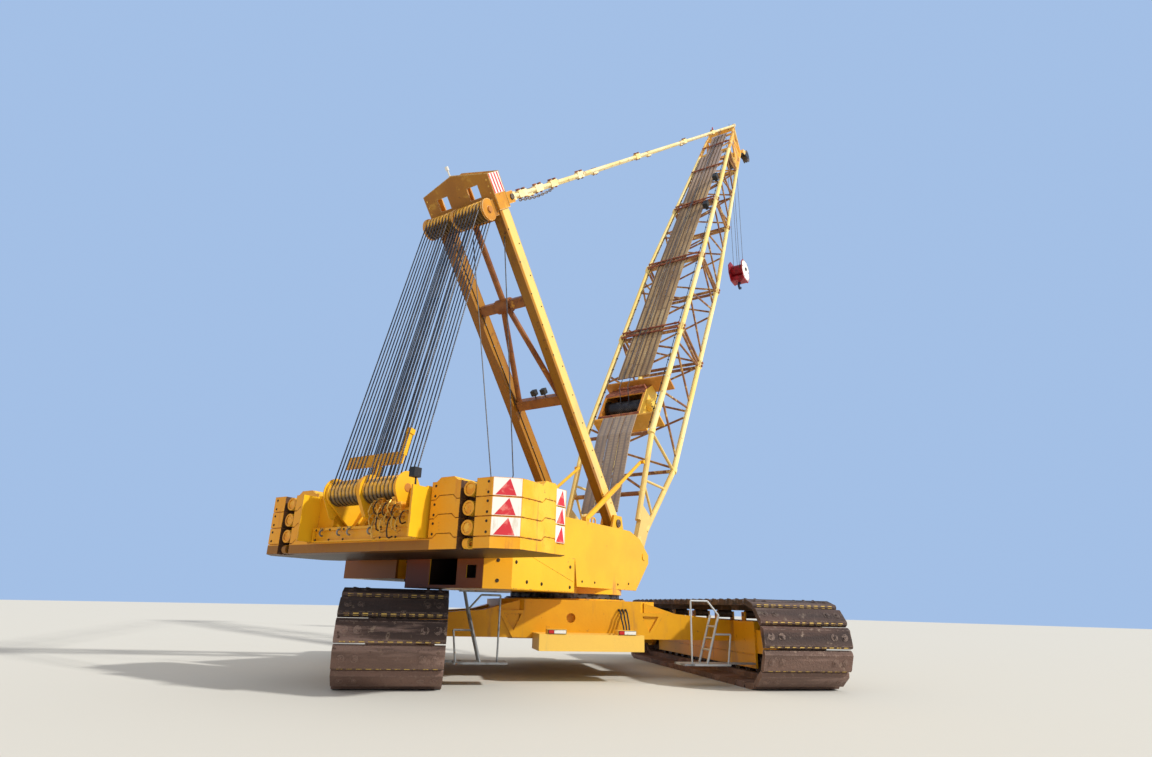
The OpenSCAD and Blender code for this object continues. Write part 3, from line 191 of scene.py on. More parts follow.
def blend_colour(tree, mask, under, over):
    """Lays one colour over another where the mask is 1."""
    under, over = ((*c, 1) if isinstance(c, tuple) else c for c in (under, over))
    return node(tree, "Mix", {"Factor": mask, 6: under, 7: over}, data_type="RGBA").outputs[2]


def paint_over(mat, mask, colour):
    """Lays one more colour over a material where the mask is 1."""
    tree = mat.node_tree
    base = tree.nodes["Principled BSDF"].inputs["Base Color"]
    tree.links.new(blend_colour(tree, mask, base.links[0].from_socket, colour), base)


def shade(mat, low, high, colour, fade=0.01, most=1.0, axes=(ORIGIN, ORIGIN)):
    """Paints over what lies in a box of the row frame, or of the turned frame in axes."""
    tree = mat.node_tree
    at = place(tree, turned_place, Foot=axes[0], Turn=axes[1])
    paint_over(mat, place(tree, inside_box, Place=at, Low=low, High=high, Fade=fade, Most=most), colour)


def finish(name, base, layers, rough=(0.5, 0.75), metallic=0.0, bump=(20, 0.006), coat=0.0, wear=None,
           axes=None):
    """A base colour with cloudy layers over it, worn edges and a fine bump.

    Each layer is colour, scale, share, softness and, where it isn't even, stretch; wear is
    colour, radius and share; axes is the foot and turn of the part that the layers follow.
    There is at least one layer, and the last one's mask sets the roughness.
    """
    mat = bpy.data.materials.new(name)
    mat.use_nodes = True
    tree = mat.node_tree
    shader = tree.nodes["Principled BSDF"].inputs
    at = node(tree, "TexCoord").outputs["Object"]
    if axes:
        at = place(tree, turned_place, Foot=axes[0], Turn=axes[1])
    colour = base
    for over, scale, share, soft, *stretch in layers:
        stretch = stretch[0] if stretch else EVEN
        mask = place(tree, patches, Place=at, Scale=scale, Share=share, Softness=soft, Stretch=stretch)
        colour = blend_colour(tree, mask, colour, over)
    if wear:
        worn = place(tree, edges, Place=at, Radius=wear[1], Share=wear[2])
        colour = blend_colour(tree, worn, colour, wear[0])
    dull = node(tree, "MapRange", {"Value": mask, "To Min": rough[0], "To Max": rough[1]})
    grain = node(tree, "TexNoise", {"Vector": at, "Scale": bump[0], "Detail": 4, "Roughness": 0.6})
    relief = node(tree, "Bump", {"Height": grain.outputs["Fac"], "Strength": 0.5, "Distance": bump[1]})
    tree.links.new(colour, shader["Base Color"])
    tree.links.new(dull.outputs[0], shader["Roughness"])
    tree.links.new(relief.outputs[0], shader["Normal"])
    for key, value in (("Metallic", metallic), ("Coat Weight", coat), ("Specular IOR Level", 0.3)):
        shader[key].default_value = value
    return mat


def dress(mat, *names):
    """Gives a material to CAD nodes."""
    for name in names:
        mesh = frame["nodes"][name].data
        mesh.materials.clear()
        mesh.materials.append(mat)


def solids(count):
    """Empty meshes, each a list of points and a list of faces."""
    return [([], []) for _ in range(count)]


def prism(mesh, outline, lo, hi, axes="xzy"):
    """Adds a solid: an outline on the first two axes, from lo to hi on the third."""
    order = ["xyz".index(a) for a in axes]
    first, n = len(mesh[0]), len(outline)
    for depth in (lo, hi):
        for a, b in outline:
            p = [0, 0, 0]
            p[order[0]], p[order[1]], p[order[2]] = a, b, depth
            mesh[0].append(tuple(p))
    mesh[1].append([first + k for k in range(n)])
    mesh[1].append([first + n + k for k in reversed(range(n))])
    mesh[1].extend([first + k, first + (k + 1) % n, first + n + (k + 1) % n, first + n + k] for k in range(n))


def rod(mesh, points, radius, sides=8):
    """Adds a round bar, hose or rope along a line of points."""
    points = [Vector(p) for p in points]
    first, last = len(mesh[0]), len(points) - 1
    spread = [sum(abs((b - a).normalized()[k]) for a, b in zip(points, points[1:])) for k in range(3)]
    away = Vector([float(k == spread.index(min(spread))) for k in range(3)])
    for i, p in enumerate(points):
        along = (points[min(i + 1, last)] - points[max(i - 1, 0)]).normalized()
        side = along.cross(away).normalized()
        up = side.cross(along)
        for k in range(sides):
            turn = 2 * math.pi * k / sides
            mesh[0].append(tuple(p + side * radius * math.cos(turn) + up * radius * math.sin(turn)))
    mesh[1].append([first + k for k in range(sides)])
    mesh[1].append([first + last * sides + k for k in reversed(range(sides))])
    for i in range(last):
        a, b = first + i * sides, first + (i + 1) * sides
        mesh[1].extend([a + k, a + (k + 1) % sides, b + (k + 1) % sides, b + k] for k in range(sides))


def piece(name, mesh, mat, slot, body="superstructure", axes=None, bevel=0.0):
    """Makes one object of the gathered solids and lets it ride a body, if one is named."""
    data = bpy.data.meshes.new(name)
    data.from_pydata(mesh[0], [], mesh[1])
    solid = bmesh.new()
    solid.from_mesh(data)
    bmesh.ops.recalc_face_normals(solid, faces=solid.faces)
    if axes:
        bmesh.ops.transform(solid, matrix=axes, verts=solid.verts)
    solid.to_mesh(data)
    solid.free()
    data.polygons.foreach_set("use_smooth", [True] * len(data.polygons))
    data.set_sharp_from_angle(angle=math.radians(35))
    data.materials.append(mat)
    obj = bpy.data.objects.new(name, data)
    scene.collection.objects.link(obj)
    if bevel:
        soft = obj.modifiers.new("soft_edges", "BEVEL")
        soft.width = bevel
        soft.segments = 2
        soft.limit_method = "ANGLE"
    if body:
        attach(obj, body)
    return obj


TRACK_YAW = math.radians(44)
TRACK_V = 4.2
AXLE_Z = 0.9
WHEEL_U, CHAIN_R, SHOE_T, SHOES = 4.0, 0.79, 0.11, 48
CHAIN_LEN = 4 * WHEEL_U + 2 * math.pi * CHAIN_R
BURIED_Z = 0.22
LINK_END = ((-0.213, 0.045), (-0.165, 0.045), (-0.175, 0.098), (-0.206, 0.090))
on_tracks = {"body": "undercarriage", "axes": Matrix.Rotation(TRACK_YAW, 4, "Z")}
track_rust = finish("rusty_track_steel", (0.155, 0.085, 0.068), [
    ((0.050, 0.033, 0.030), 1.5, 0.50, 0.10, (1, 0.10, 1)),
    ((0.30, 0.205, 0.18), 1.9, 0.585, 0.05, (1, 0.12, 1)),
    ((0.33, 0.25, 0.20), 7.0, 0.64, 0.05),
    ((0.055, 0.035, 0.030), 14.0, 0.63, 0.05),
], rough=(0.75, 0.95), bump=(26, 0.05), wear=((0.30, 0.22, 0.19), 0.03, 0.52),
    axes=(ORIGIN, (0, 0, -TRACK_YAW)))
shade(track_rust, (-9, -9, -1), (9, 9, 1.05), (0.27, 0.170, 0.135), 0.5, 0.55)
shade(track_rust, (-9, -9, 1.15), (9, 9, 3), (0.035, 0.028, 0.027), 0.4, 0.65)
dress(track_rust, "track_left", "track_right")
roller_steel = finish("greasy_roller_steel", (0.11, 0.070, 0.050), [
    ((0.28, 0.17, 0.08), 3.0, 0.56, 0.08),
    ((0.035, 0.028, 0.024), 6.0, 0.55, 0.08),
], rough=(0.5, 0.8), metallic=0.3, bump=(30, 0.01), wear=((0.35, 0.30, 0.26), 0.02, 0.55))
dress(roller_steel, "track_wheels_left", "track_wheels_right")
link_ends = finish("dusty_link_ends", (0.66, 0.45, 0.12), [
    ((0.16, 0.09, 0.06), 9.0, 0.55, 0.08),
], rough=(0.7, 0.9), bump=(40, 0.01))


def shoe_at(i, x, y):
    """Point on shoe i: x along the track and y out from the chain, as u and height."""
    d = (i + 0.5) * CHAIN_LEN / SHOES
    low = d > CHAIN_LEN / 2
    d = d - CHAIN_LEN / 2 if low else d
    if d < 2 * WHEEL_U:
        u, z, turn = d - WHEEL_U, CHAIN_R, 0.0
    else:
        turn = (d - 2 * WHEEL_U) / CHAIN_R
        u, z, turn = WHEEL_U + CHAIN_R * math.sin(turn), CHAIN_R * math.cos(turn), -turn
    u, z = u + x * math.cos(turn) - y * math.sin(turn), z + x * math.sin(turn) + y * math.cos(turn)
    return (-u if low else u), AXLE_Z + (-z if low else z)


for side, centre in (("left", TRACK_V), ("right", -TRACK_V)):
    rings, ends = solids(2)
    for i in range(SHOES):
        if shoe_at(i, 0, 0)[1] < BURIED_Z:
            continue
        (u0, z0), (u1, z1) = shoe_at(i, 0, SHOE_T), shoe_at(i, 0, SHOE_T + 1)
        out = Vector((u1 - u0, 0, z1 - z0))
        for v in (-0.84, -0.60, 0.60, 0.84):
            spot = Vector((u0, centre + v, z0))
            rod(rings, (spot - out * 0.01, spot + out * 0.008), 0.075, 16)
            rod(rings, (spot, spot + out * 0.012), 0.05, 16)
            rod(rings, (spot, spot + out * 0.026), 0.03, 6)
        corners = [shoe_at(i, x, y) for x, y in LINK_END]
        for k in range(-5, 6):
            v = centre + k * 0.168
            prism(ends, corners, v - 0.05, v + 0.05)
    piece("shoe_bolts_" + side, rings, track_rust, "track_steel", **on_tracks)
    piece("link_ends_" + side, ends, link_ends, "track_steel", **on_tracks)


# Undercarriage: welded boxes in deep yellow paint, dusty below and greasy round the ring.
# Ring bolts, drive bolts, weld beads, lamp lenses and hoses are added to the boxes.
def block(mesh, a, b):
    """Adds a plate or bar between two corners."""
    prism(mesh, [(a[0], a[1]), (b[0], a[1]), (b[0], b[1]), (a[0], b[1])], a[2], b[2], "xyz")


def arc(centre, radius, steps, start=0, end=360, axes="xz"):
    """Points round a centre on two axes, from one angle in degrees to another."""
    a, b = ("xyz".index(axis) for axis in axes)
    points = []
    for k in range(steps + 1):
        turn = math.radians(start + (end - start) * k / steps)
        p = list(centre)
        p[a] += radius * math.cos(turn)
        p[b] += radius * math.sin(turn)
        points.append(tuple(p))
    return points


def bolts(mesh, spots, along, radius=0.014, height=0.012):
    """Adds a hexagon head with its washer at each spot, standing along one direction."""
    along = Vector(along)
    for spot in spots:
        spot = Vector(spot)
        rod(mesh, (spot - along * 0.01, spot + along * height * 0.3), radius * 1.5, 12)
        rod(mesh, (spot, spot + along * height), radius, 6)


def bolt_circle(mesh, centre, radius, count, along, size, axes="xz"):
    """Adds bolts round a centre; size is the radius and height of their heads."""
    bolts(mesh, arc(centre, radius, count, axes=axes)[:-1], along, *size)


UPRIGHT = (1, 1, 0.16)
under_paint = finish("undercarriage_paint", (0.80, 0.43, 0.014), [
    ((0.70, 0.35, 0.014), 1.1, 0.50, 0.15),
    ((0.40, 0.21, 0.055), 2.4, 0.61, 0.06, UPRIGHT),
    ((0.20, 0.10, 0.045), 8.0, 0.68, 0.03),
], rough=(0.42, 0.75), bump=(18, 0.006), wear=((0.24, 0.12, 0.05), 0.03, 0.47))

# Shaded rear faces: 1 on faces that look to the rear, where shade is painted as a deeper orange
shaded_rear_faces, given, mask = effect("shaded_rear_faces", Most=0.6)
normal = node(shaded_rear_faces, "TexCoord").outputs["Normal"]
forward = node(shaded_rear_faces, "SeparateXYZ", {0: normal}).outputs["X"]
rear = node(shaded_rear_faces, "MapRange", {
    "Value": forward, "From Min": -0.35, "From Max": -0.75, "To Max": given["Most"]})
shaded_rear_faces.links.new(rear.outputs[0], mask)


def paint_rear_shade(mat, colour, most):
    """Paints shade on the rear faces of a material as a deeper orange."""
    paint_over(mat, place(mat.node_tree, shaded_rear_faces, Most=most), colour)


def variant(mat, name):
    """A copy of a paint, to take painted shade or painted light for one node."""
    copied = mat.copy()
    copied.name = name
    return copied


# Painted shade: the undercarriage's rear faces turn a deeper orange.
paint_rear_shade(under_paint, (0.74, 0.33, 0.008), 0.5)
dress(under_paint, "carbody", "track_frame_left", "track_frame_right", "track_drives")
# The end boxes take a paler copy of the paint: painted sunlight.
lit_end_box_paint = variant(under_paint, "end_box_paint_with_painted_light")
shade(lit_end_box_paint, (-4, -4, 0), (4, 4, 2), (0.90, 0.66, 0.17), most=0.6)
dress(lit_end_box_paint, "end_boxes")
ring_steel = finish("greasy_ring_steel", (0.20, 0.17, 0.14), [
    ((0.06, 0.05, 0.04), 4.0, 0.5, 0.1),
], rough=(0.35, 0.6), metallic=0.8, bump=(30, 0.004))
dress(ring_steel, "slew_ring")
ladder_grey = finish("weathered_ladder_grey", (0.27, 0.28, 0.28), [
    ((0.15, 0.145, 0.14), 5.0, 0.54, 0.08),
    ((0.22, 0.14, 0.09), 11.0, 0.64, 0.05),
], rough=(0.45, 0.7), metallic=0.5, bump=(30, 0.004))
shade(ladder_grey, (-1.2, -5.2, 0), (0.6, -3.6, 2), (0.62, 0.63, 0.62), most=0.8)
dress(ladder_grey, "step_ladders")
dark_bolt = finish("dark_bolt_steel", (0.10, 0.065, 0.035), [
    ((0.045, 0.035, 0.03), 14.0, 0.5, 0.1),
], rough=(0.45, 0.65), metallic=0.6, bump=(60, 0.003))
rubber = finish("black_hose_rubber", (0.022, 0.022, 0.024), [
    ((0.06, 0.055, 0.05), 6.0, 0.6, 0.08),
], rough=(0.55, 0.75), bump=(80, 0.003))
lens_white = finish("scratched_white_lens", (0.80, 0.79, 0.74), [
    ((0.62, 0.58, 0.50), 12.0, 0.6, 0.06),
], rough=(0.2, 0.4), bump=(40, 0.002))
lens_red = finish("red_lens", (0.52, 0.02, 0.02), [
    ((0.34, 0.02, 0.02), 12.0, 0.6, 0.06),
], rough=(0.2, 0.4), bump=(40, 0.002))
RING_BOLT_R, RING_BOLT_Z = 1.53, 1.74
HUB_V, HUB_BOLT_R = 3.25, 0.37
BUMPER_U, LAMP_V, LAMP_Z = 3.2, 0.79, (0.985, 1.073)
ring_bolts, drive_bolts, lamp_rims, lamp_white, lamp_red = solids(5)
bolt_circle(ring_bolts, (0, 0, RING_BOLT_Z), RING_BOLT_R, 48, (0, 0, 1), (0.028, 0.03), "xy")
for s in (1, -1):
    bolt_circle(drive_bolts, (WHEEL_U, s * HUB_V, AXLE_Z), HUB_BOLT_R, 16, (0, -s, 0), (0.022, 0.02))
    rod(drive_bolts, [(WHEEL_U, s * (HUB_V + 0.01), AXLE_Z), (WHEEL_U, s * (HUB_V - 0.015), AXLE_Z)], 0.2, 24)
    for v in (-LAMP_V, LAMP_V):
        for mesh, left, right, inset, thick in (
                (lamp_rims, -0.2, 0.2, 0.0, 0.012), (lamp_white, -0.19, 0.07, 0.01, 0.022),
                (lamp_red, 0.075, 0.19, 0.01, 0.022)):
            block(mesh, (s * BUMPER_U, v + left, LAMP_Z[0] + inset),
                  (s * (BUMPER_U + thick), v + right, LAMP_Z[1] - inset))
piece("ring_bolts", ring_bolts, dark_bolt, "bare_steel", "undercarriage")
piece("drive_bolts", drive_bolts, dark_bolt, "track_steel", **on_tracks)
piece("lamp_rims", lamp_rims, rubber, "lamp_plastic", bevel=0.003, **on_tracks)
piece("lamp_lenses_white", lamp_white, lens_white, "lamp_plastic", bevel=0.004, **on_tracks)
piece("lamp_lenses_red", lamp_red, lens_red, "lamp_plastic", bevel=0.004, **on_tracks)
HOSE_V, HOSE_TOP_Z = (-1.02, -0.94, -0.86), 1.50
lower_hoses, hose_ends, frame_welds, frame_plates = solids(4)
for s in (1, -1):
    for k, v in enumerate(HOSE_V):
        foot_u = -2.60 - 0.05 * k
        line = [(-2.24, v, HOSE_TOP_Z), (-2.30, v, HOSE_TOP_Z), (-2.37, v - 0.01, 1.44),
                (-2.42, v - 0.02, 1.30), (-2.47 - 0.03 * k, v - 0.03, 1.16),
                (foot_u + 0.08, v - 0.02, 1.06), (foot_u, v, 0.99)]
        rod(lower_hoses, [(s * u, s * w, z) for u, w, z in line], 0.019)
        rod(hose_ends, [(s * -2.245, s * v, HOSE_TOP_Z), (s * -2.29, s * v, HOSE_TOP_Z)], 0.028, 6)
        rod(hose_ends, [(s * foot_u, s * v, 0.97), (s * (foot_u + 0.005), s * v, 1.01)], 0.028, 6)
    for v in (TRACK_V - 0.428, TRACK_V + 0.428):
        rod(frame_welds, [(-3.2, s * v, 0.62), (3.2, s * v, 0.62)], 0.010, 6)
    for u in (-2.6, -1.3, 0, 1.3, 2.6):
        v = TRACK_V + 0.434
        block(frame_plates, (u - 0.16, s * (v - 0.014), 0.78), (u + 0.16, s * v, 1.0))
        bolts(frame_plates, [(u + a, s * v, z) for a in (-0.125, 0.125) for z in (0.815, 0.965)], (0, s, 0))
piece("carbody_hoses", lower_hoses, rubber, "lamp_plastic", **on_tracks)
piece("carbody_hose_ends", hose_ends, dark_bolt, "bare_steel", **on_tracks)
piece("side_frame_welds", frame_welds, under_paint, "yellow_paint", **on_tracks)
piece("side_frame_covers", frame_plates, under_paint, "yellow_paint", **on_tracks)

# Slewing platform: thick welded plates in glossy orange yellow, stained and chipped, with painted
# shade at the rear. Bolts, weld beads, tread plates and lifting eyes are added to the plates.
frame_paint = finish("platform_paint", (0.85, 0.50, 0.018), [
    ((0.80, 0.43, 0.016), 0.7, 0.50, 0.18),
    ((0.56, 0.27, 0.045), 2.2, 0.66, 0.05, UPRIGHT),
    ((0.26, 0.13, 0.05), 7.0, 0.72, 0.03),
], rough=(0.34, 0.6), bump=(12, 0.005), coat=0.08, wear=((0.30, 0.15, 0.05), 0.02, 0.46))
# Painted shade: the platform's rear faces turn a deeper orange.
paint_rear_shade(frame_paint, (0.74, 0.28, 0.008), 0.6)
dress(frame_paint, "main_frame", "tail_brackets", "rope_guide", "cab_body", "cab_door", "backstops")
base_paint = variant(frame_paint, "slewing_base_paint")
# Painted shade: the base's rear face a dark maroon, darkest on its left part, and the openings in it near
# black.
shade(base_paint, (-4.83, -1.7, 1.8), (-4.79, 1.7, 2.7), (0.20, 0.042, 0.002), 0.01, 0.97)
shade(base_paint, (-4.83, 0.41, 1.8), (-4.55, 1.7, 2.7), (0.17, 0.030, 0.002), 0.02, 0.98)
shade(base_paint, (-4.785, -0.92, 1.88), (-3.3, 0.40, 2.60), (0.018, 0.012, 0.010), 0.01)
dress(base_paint, "slewing_base")
house_paint = variant(frame_paint, "engine_house_paint")
# Painted shade: the engine house's rear face a dark brown, and its lower part under the tray browner.
shade(house_paint, (-4.75, 1.4, 1.9), (-4.62, 3.3, 3.5), (0.21, 0.055, 0.003), 0.03, 0.93)
shade(house_paint, (-4.75, 1.4, 1.9), (-0.2, 3.3, 2.42), (0.22, 0.10, 0.03), 0.25, 0.5)
dress(house_paint, "engine_house")
BASE_Y, DECK_Y, DECK_Z = 1.5, 1.27, 3.549
BASE_BOLTS = ((-3.85, 2.02), (-3.30, 2.0), (-2.15, 1.97), (-2.15, 2.42), (-4.25, 2.40))
SMALL_BASE_BOLTS = ((-1.6, 2.12), (-1.0, 2.12), (0.2, 2.12), (0.8, 2.16))
base_bolts, base_welds, eyes, treads = solids(4)
for s in (1, -1):
    bolts(base_bolts, [(x, s * BASE_Y, z) for x, z in BASE_BOLTS], (0, s, 0), 0.026, 0.02)
    bolts(base_bolts, [(-4.59, s * 1.29, 2.02), (-4.59, s * 1.29, 2.42)], (-0.707, s * 0.707, 0), 0.026, 0.02)
    bolts(base_bolts, [(x, s * BASE_Y, z) for x, z in SMALL_BASE_BOLTS], (0, s, 0), 0.02, 0.015)
    rod(base_welds, [(-3.90, s * BASE_Y, 2.60), (-2.0, s * BASE_Y, 2.10)], 0.009, 6)
    rod(base_welds, [(-4.38, s * BASE_Y, 1.88), (-1.97, s * BASE_Y, 1.88)], 0.009, 6)
    seam = [(x, s * (BASE_Y + 0.003), z) for x, z in ((-1.95, 2.60), (-1.85, 2.0), (1.24, 2.0))]
    rod(base_welds, seam, 0.008, 6)
    for x in (-6.2, -4.2, -2.0, 0.0):
        y, top = s * DECK_Y, DECK_Z + 0.007
        block(treads, (x - 0.55, y - 0.19, DECK_Z), (x + 0.55, y + 0.19, top))
        spots = [(x + a, y + b, top) for a in (-0.5, 0, 0.5) for b in (-0.15, 0.15)]
        bolts(treads, spots, (0, 0, 1), 0.012, 0.008)
    for x in (-5.2, -1.0):
        rod(eyes, arc((x, s * 1.44, 3.60), 0.09, 10, -22.5, 202.5), 0.022)
piece("platform_bolts", base_bolts, dark_bolt, "bare_steel")
piece("platform_welds", base_welds, frame_paint, "frame_paint")
piece("tread_plates", treads, ladder_grey, "grating_steel")
piece("lifting_eyes", eyes, frame_paint, "frame_paint")
winch_rope = finish("greased_rope", (0.070, 0.066, 0.066), [
    ((0.16, 0.145, 0.13), 9.0, 0.5, 0.1),
], rough=(0.4, 0.6), metallic=0.5, bump=(120, 0.003))
dress(winch_rope, "luffing_winch", "engine")
WRAPS, WRAP_PITCH = 26, 0.054
wraps = ([], [])
for row, radius in enumerate((0.345, 0.371)):
    for k in range(WRAPS - row):
        rod(wraps, arc((-3.6, -0.70 + WRAP_PITCH * (k + row / 2), 3.15), radius, 28), 0.013, 5)
piece("winch_rope_wraps", wraps, winch_rope, "rope_steel")

# Counterweights: cast slabs in chipped orange yellow, with painted shade in the recesses round the
# lifting lugs, at the rear and under the tray, and white panels with one red triangle on each slab's corners.
weight_paint = finish("counterweight_paint", (0.84, 0.42, 0.016), [
    ((0.87, 0.52, 0.050), 1.4, 0.50, 0.14),
    ((0.50, 0.235, 0.050), 3.0, 0.63, 0.05, UPRIGHT),
    ((0.20, 0.10, 0.05), 8.0, 0.70, 0.03),
], rough=(0.42, 0.7), bump=(16, 0.010), wear=((0.24, 0.115, 0.05), 0.028, 0.50))
# Painted shade: a deeper orange on the rear faces, the tray's underside near black and the tray's rear face
# brown left of the right recess.
paint_rear_shade(weight_paint, (0.84, 0.32, 0.012), 0.65)
shade(weight_paint, (-8, -4, 2.40), (-4, 4, 2.436), (0.034, 0.013, 0.004), 0.003)
shade(weight_paint, (-7.4, -1.62, 2.42), (-6.6, 4, 2.61), (0.20, 0.075, 0.006), 0.015, 0.85)
dress(weight_paint, "counterweight_tray", "counterweight_left", "counterweight_right")
# Dark paint for the sheets in the lug recesses and the winch hood: painted shade.
recess_shade_paint = finish("painted_recess_shade", (0.075, 0.038, 0.022), [
    ((0.16, 0.075, 0.035), 9.0, 0.55, 0.08),
], rough=(0.6, 0.8), bump=(30, 0.004))
lug_face = finish("lug_face_paint", (0.80, 0.31, 0.015), [
    ((0.92, 0.50, 0.06), 7.0, 0.52, 0.12),
    ((0.22, 0.11, 0.05), 16.0, 0.64, 0.05),
], rough=(0.45, 0.65), bump=(30, 0.004))
panel_white = finish("chalky_white_panel", (0.86, 0.84, 0.80), [
    ((0.66, 0.58, 0.46), 6.0, 0.62, 0.06, UPRIGHT),
], rough=(0.45, 0.65), bump=(30, 0.002))
panel_red = finish("faded_red_panel", (0.62, 0.035, 0.05), [
    ((0.74, 0.18, 0.16), 8.0, 0.58, 0.06),
], rough=(0.45, 0.65), bump=(30, 0.002))


def corner_plate(mesh, turn, outline, thick):
    """Adds a thin plate whose outline lies in a turned plane."""
    flat = ([], [])
    prism(flat, outline, -0.002, thick, "xyz")
    shift = len(mesh[0])
    mesh[0].extend(tuple(turn @ Vector(p)) for p in flat[0])
    mesh[1].extend([v + shift for v in f] for f in flat[1])


TRAY_Z, SLAB_Z, SLAB_T = 2.43, 2.62, 0.33
TAIL_X, SLAB_FRONT_X, SLAB_SIDE_Y = -6.97, -4.99, 3.31
LUG_Y, RECESS_HALF = 2.42, 0.178
PANEL_FOOT, PANEL_TOP, SLANT = 0.022, 0.322, math.sqrt(0.5)
slab_feet = [SLAB_Z + SLAB_T * i for i in range(3)]
recesses, faces, whites, reds, slab_bolts = solids(5)
for s in (1, -1):
    # Thin sheets on the floors and walls of the lug recesses, which carry the painted shade.
    for low, high, depth in [(z, z + SLAB_T, 0.258) for z in slab_feet] + [(TRAY_Z, SLAB_Z, 0.198)]:
        floor_x, low, high = TAIL_X + depth, low + 0.002, high - 0.002
        block(recesses, (floor_x - 0.004, s * LUG_Y - RECESS_HALF, low),
              (floor_x + 0.002, s * LUG_Y + RECESS_HALF, high))
        for e in (-1, 1):
            y = s * LUG_Y + e * (RECESS_HALF + 0.001)
            block(recesses, (TAIL_X + 0.005, y - 0.003, low), (floor_x, y + 0.003, high))
    for foot in slab_feet:
        middle = foot + SLAB_T / 2
        rod(faces, [(TAIL_X + 0.045, s * LUG_Y, middle), (TAIL_X + 0.055, s * LUG_Y, middle)], 0.085, 28)
        spots = [(TAIL_X, s * y, middle + e * 0.09) for y in (1.66, 2.86) for e in (-1, 1)]
        bolts(slab_bolts, spots, (-1, 0, 0), 0.016, 0.012)
        for x, y, ahead, width in ((TAIL_X, 2.95, 1, 0.50), (SLAB_FRONT_X, 3.07, -1, 0.33)):
            turn = Matrix((
                (ahead * SLANT, 0, -ahead * SLANT, x), (s * SLANT, 0, s * SLANT, s * y),
                (0, 1, 0, foot), (0, 0, 0, 1)))
            outline = ((0.01, PANEL_FOOT), (width, PANEL_FOOT), (width, PANEL_TOP), (0.01, PANEL_TOP))
            corner_plate(whites, turn, outline, 0.003)
            corner_plate(reds, turn, ((0.05, 0.030), (width * 0.82, 0.030), (width * 0.58, 0.315)), 0.005)
        block(whites, (-5.56, s * (SLAB_SIDE_Y - 0.002), foot + PANEL_FOOT),
              (-5.26, s * (SLAB_SIDE_Y + 0.004), foot + PANEL_TOP))
        prism(reds, [(-5.54, foot + 0.03), (-5.28, foot + 0.03), (-5.36, foot + 0.315)],
              s * (SLAB_SIDE_Y + 0.002), s * (SLAB_SIDE_Y + 0.007))
piece("recess_shade_linings", recesses, recess_shade_paint, "weight_paint")
piece("lug_faces", faces, lug_face, "weight_paint")
piece("slab_bolts", slab_bolts, dark_bolt, "bare_steel")
piece("corner_panels_white", whites, panel_white, "weight_paint")
piece("corner_panels_red", reds, panel_red, "hook_paint")

# Tail: sheave nests with yellow discs and greasy grooves, and beside the right one the
# couplings, hoses, shackles and the lamp lead that hang on the tail beam.
nest_distance, given, distance = effect("distance_from_axis", "Distance", Axis=ORIGIN)
off = vectors(nest_distance, "SUBTRACT", node(nest_distance, "TexCoord").outputs["Object"], given["Axis"])
flat = vectors(nest_distance, "MULTIPLY", off, (1, 0, 1))
nest_distance.links.new(vectors(nest_distance, "LENGTH", flat), distance)


def sheave_paint(name, axis, hub=0.10):
    """Worn yellow discs with a browner hub round a crosswise axis."""
    mat = finish(name, (0.80, 0.42, 0.04), [
        ((0.62, 0.36, 0.10), 6.0, 0.52, 0.10),
        ((0.22, 0.12, 0.05), 11.0, 0.64, 0.05),
    ], rough=(0.4, 0.65), bump=(40, 0.004))
    tree = mat.node_tree
    paint_over(mat, sums(tree, "LESS_THAN", place(tree, nest_distance, Axis=axis), hub), (0.50, 0.20, 0.035))
    return mat


SHEAVE_PITCH, NEST_GAP_HALF, ROPE_BEND_R = 0.104, 0.06, 0.228
lower_nest, upper_nest = pivot["lower_rope_swing"], pivot["upper_rope_swing"]
for nest, axis, start in (("lower", lower_nest, 166), ("upper", upper_nest, -14)):
    nest_paint = sheave_paint(nest + "_nest_paint", axis)
    shade(nest_paint, (-9, -2, 0), (0, 2, axis.z - 0.05), (0.030, 0.022, 0.018), 0.08, 0.85)
    dress(nest_paint, nest + "_sheaves")
    turns = ([], [])
    for y in [m * (NEST_GAP_HALF + (i + 0.5) * SHEAVE_PITCH) for m in (-1, 1) for i in range(8)]:
        rod(turns, arc((axis.x, y, axis.z), ROPE_BEND_R, 16, start, start + 180), 0.0125, 6)
    piece(nest + "_rope_turns", turns, winch_rope, "rope_steel", nest + "_ropes")
nest_cheeks = ([], [])
for y, radius, thick in ((-0.045, 0.31, 0.09), (-0.985, 0.305, 0.02), (0.965, 0.305, 0.02)):
    curve = [(x, z) for x, _, z in arc(lower_nest, radius, 25, -40, 210)]
    prism(nest_cheeks, curve + [(-7.09, 3.06), (-6.98, 3.04)], y, y + thick)
piece("nest_cheeks", nest_cheeks, frame_paint, "frame_paint", bevel=0.003)
brass = finish("yellow_brass_fittings", (0.70, 0.42, 0.09), [
    ((0.36, 0.20, 0.05), 16.0, 0.54, 0.08),
], rough=(0.3, 0.5), metallic=0.4, bump=(60, 0.002))
BEAM_X = -7.09
couplings, tail_hoses, tail_pipes, valve_plate, valves, valve_ends = solids(6)
block(valve_plate, (BEAM_X - 0.005, -1.24, 2.885), (BEAM_X + 0.01, -0.30, 3.17))
for y in (-1.24, -0.32):
    block(valve_plate, (BEAM_X - 0.005, y, 2.885), (BEAM_X + 0.13, y + 0.02, 3.17))
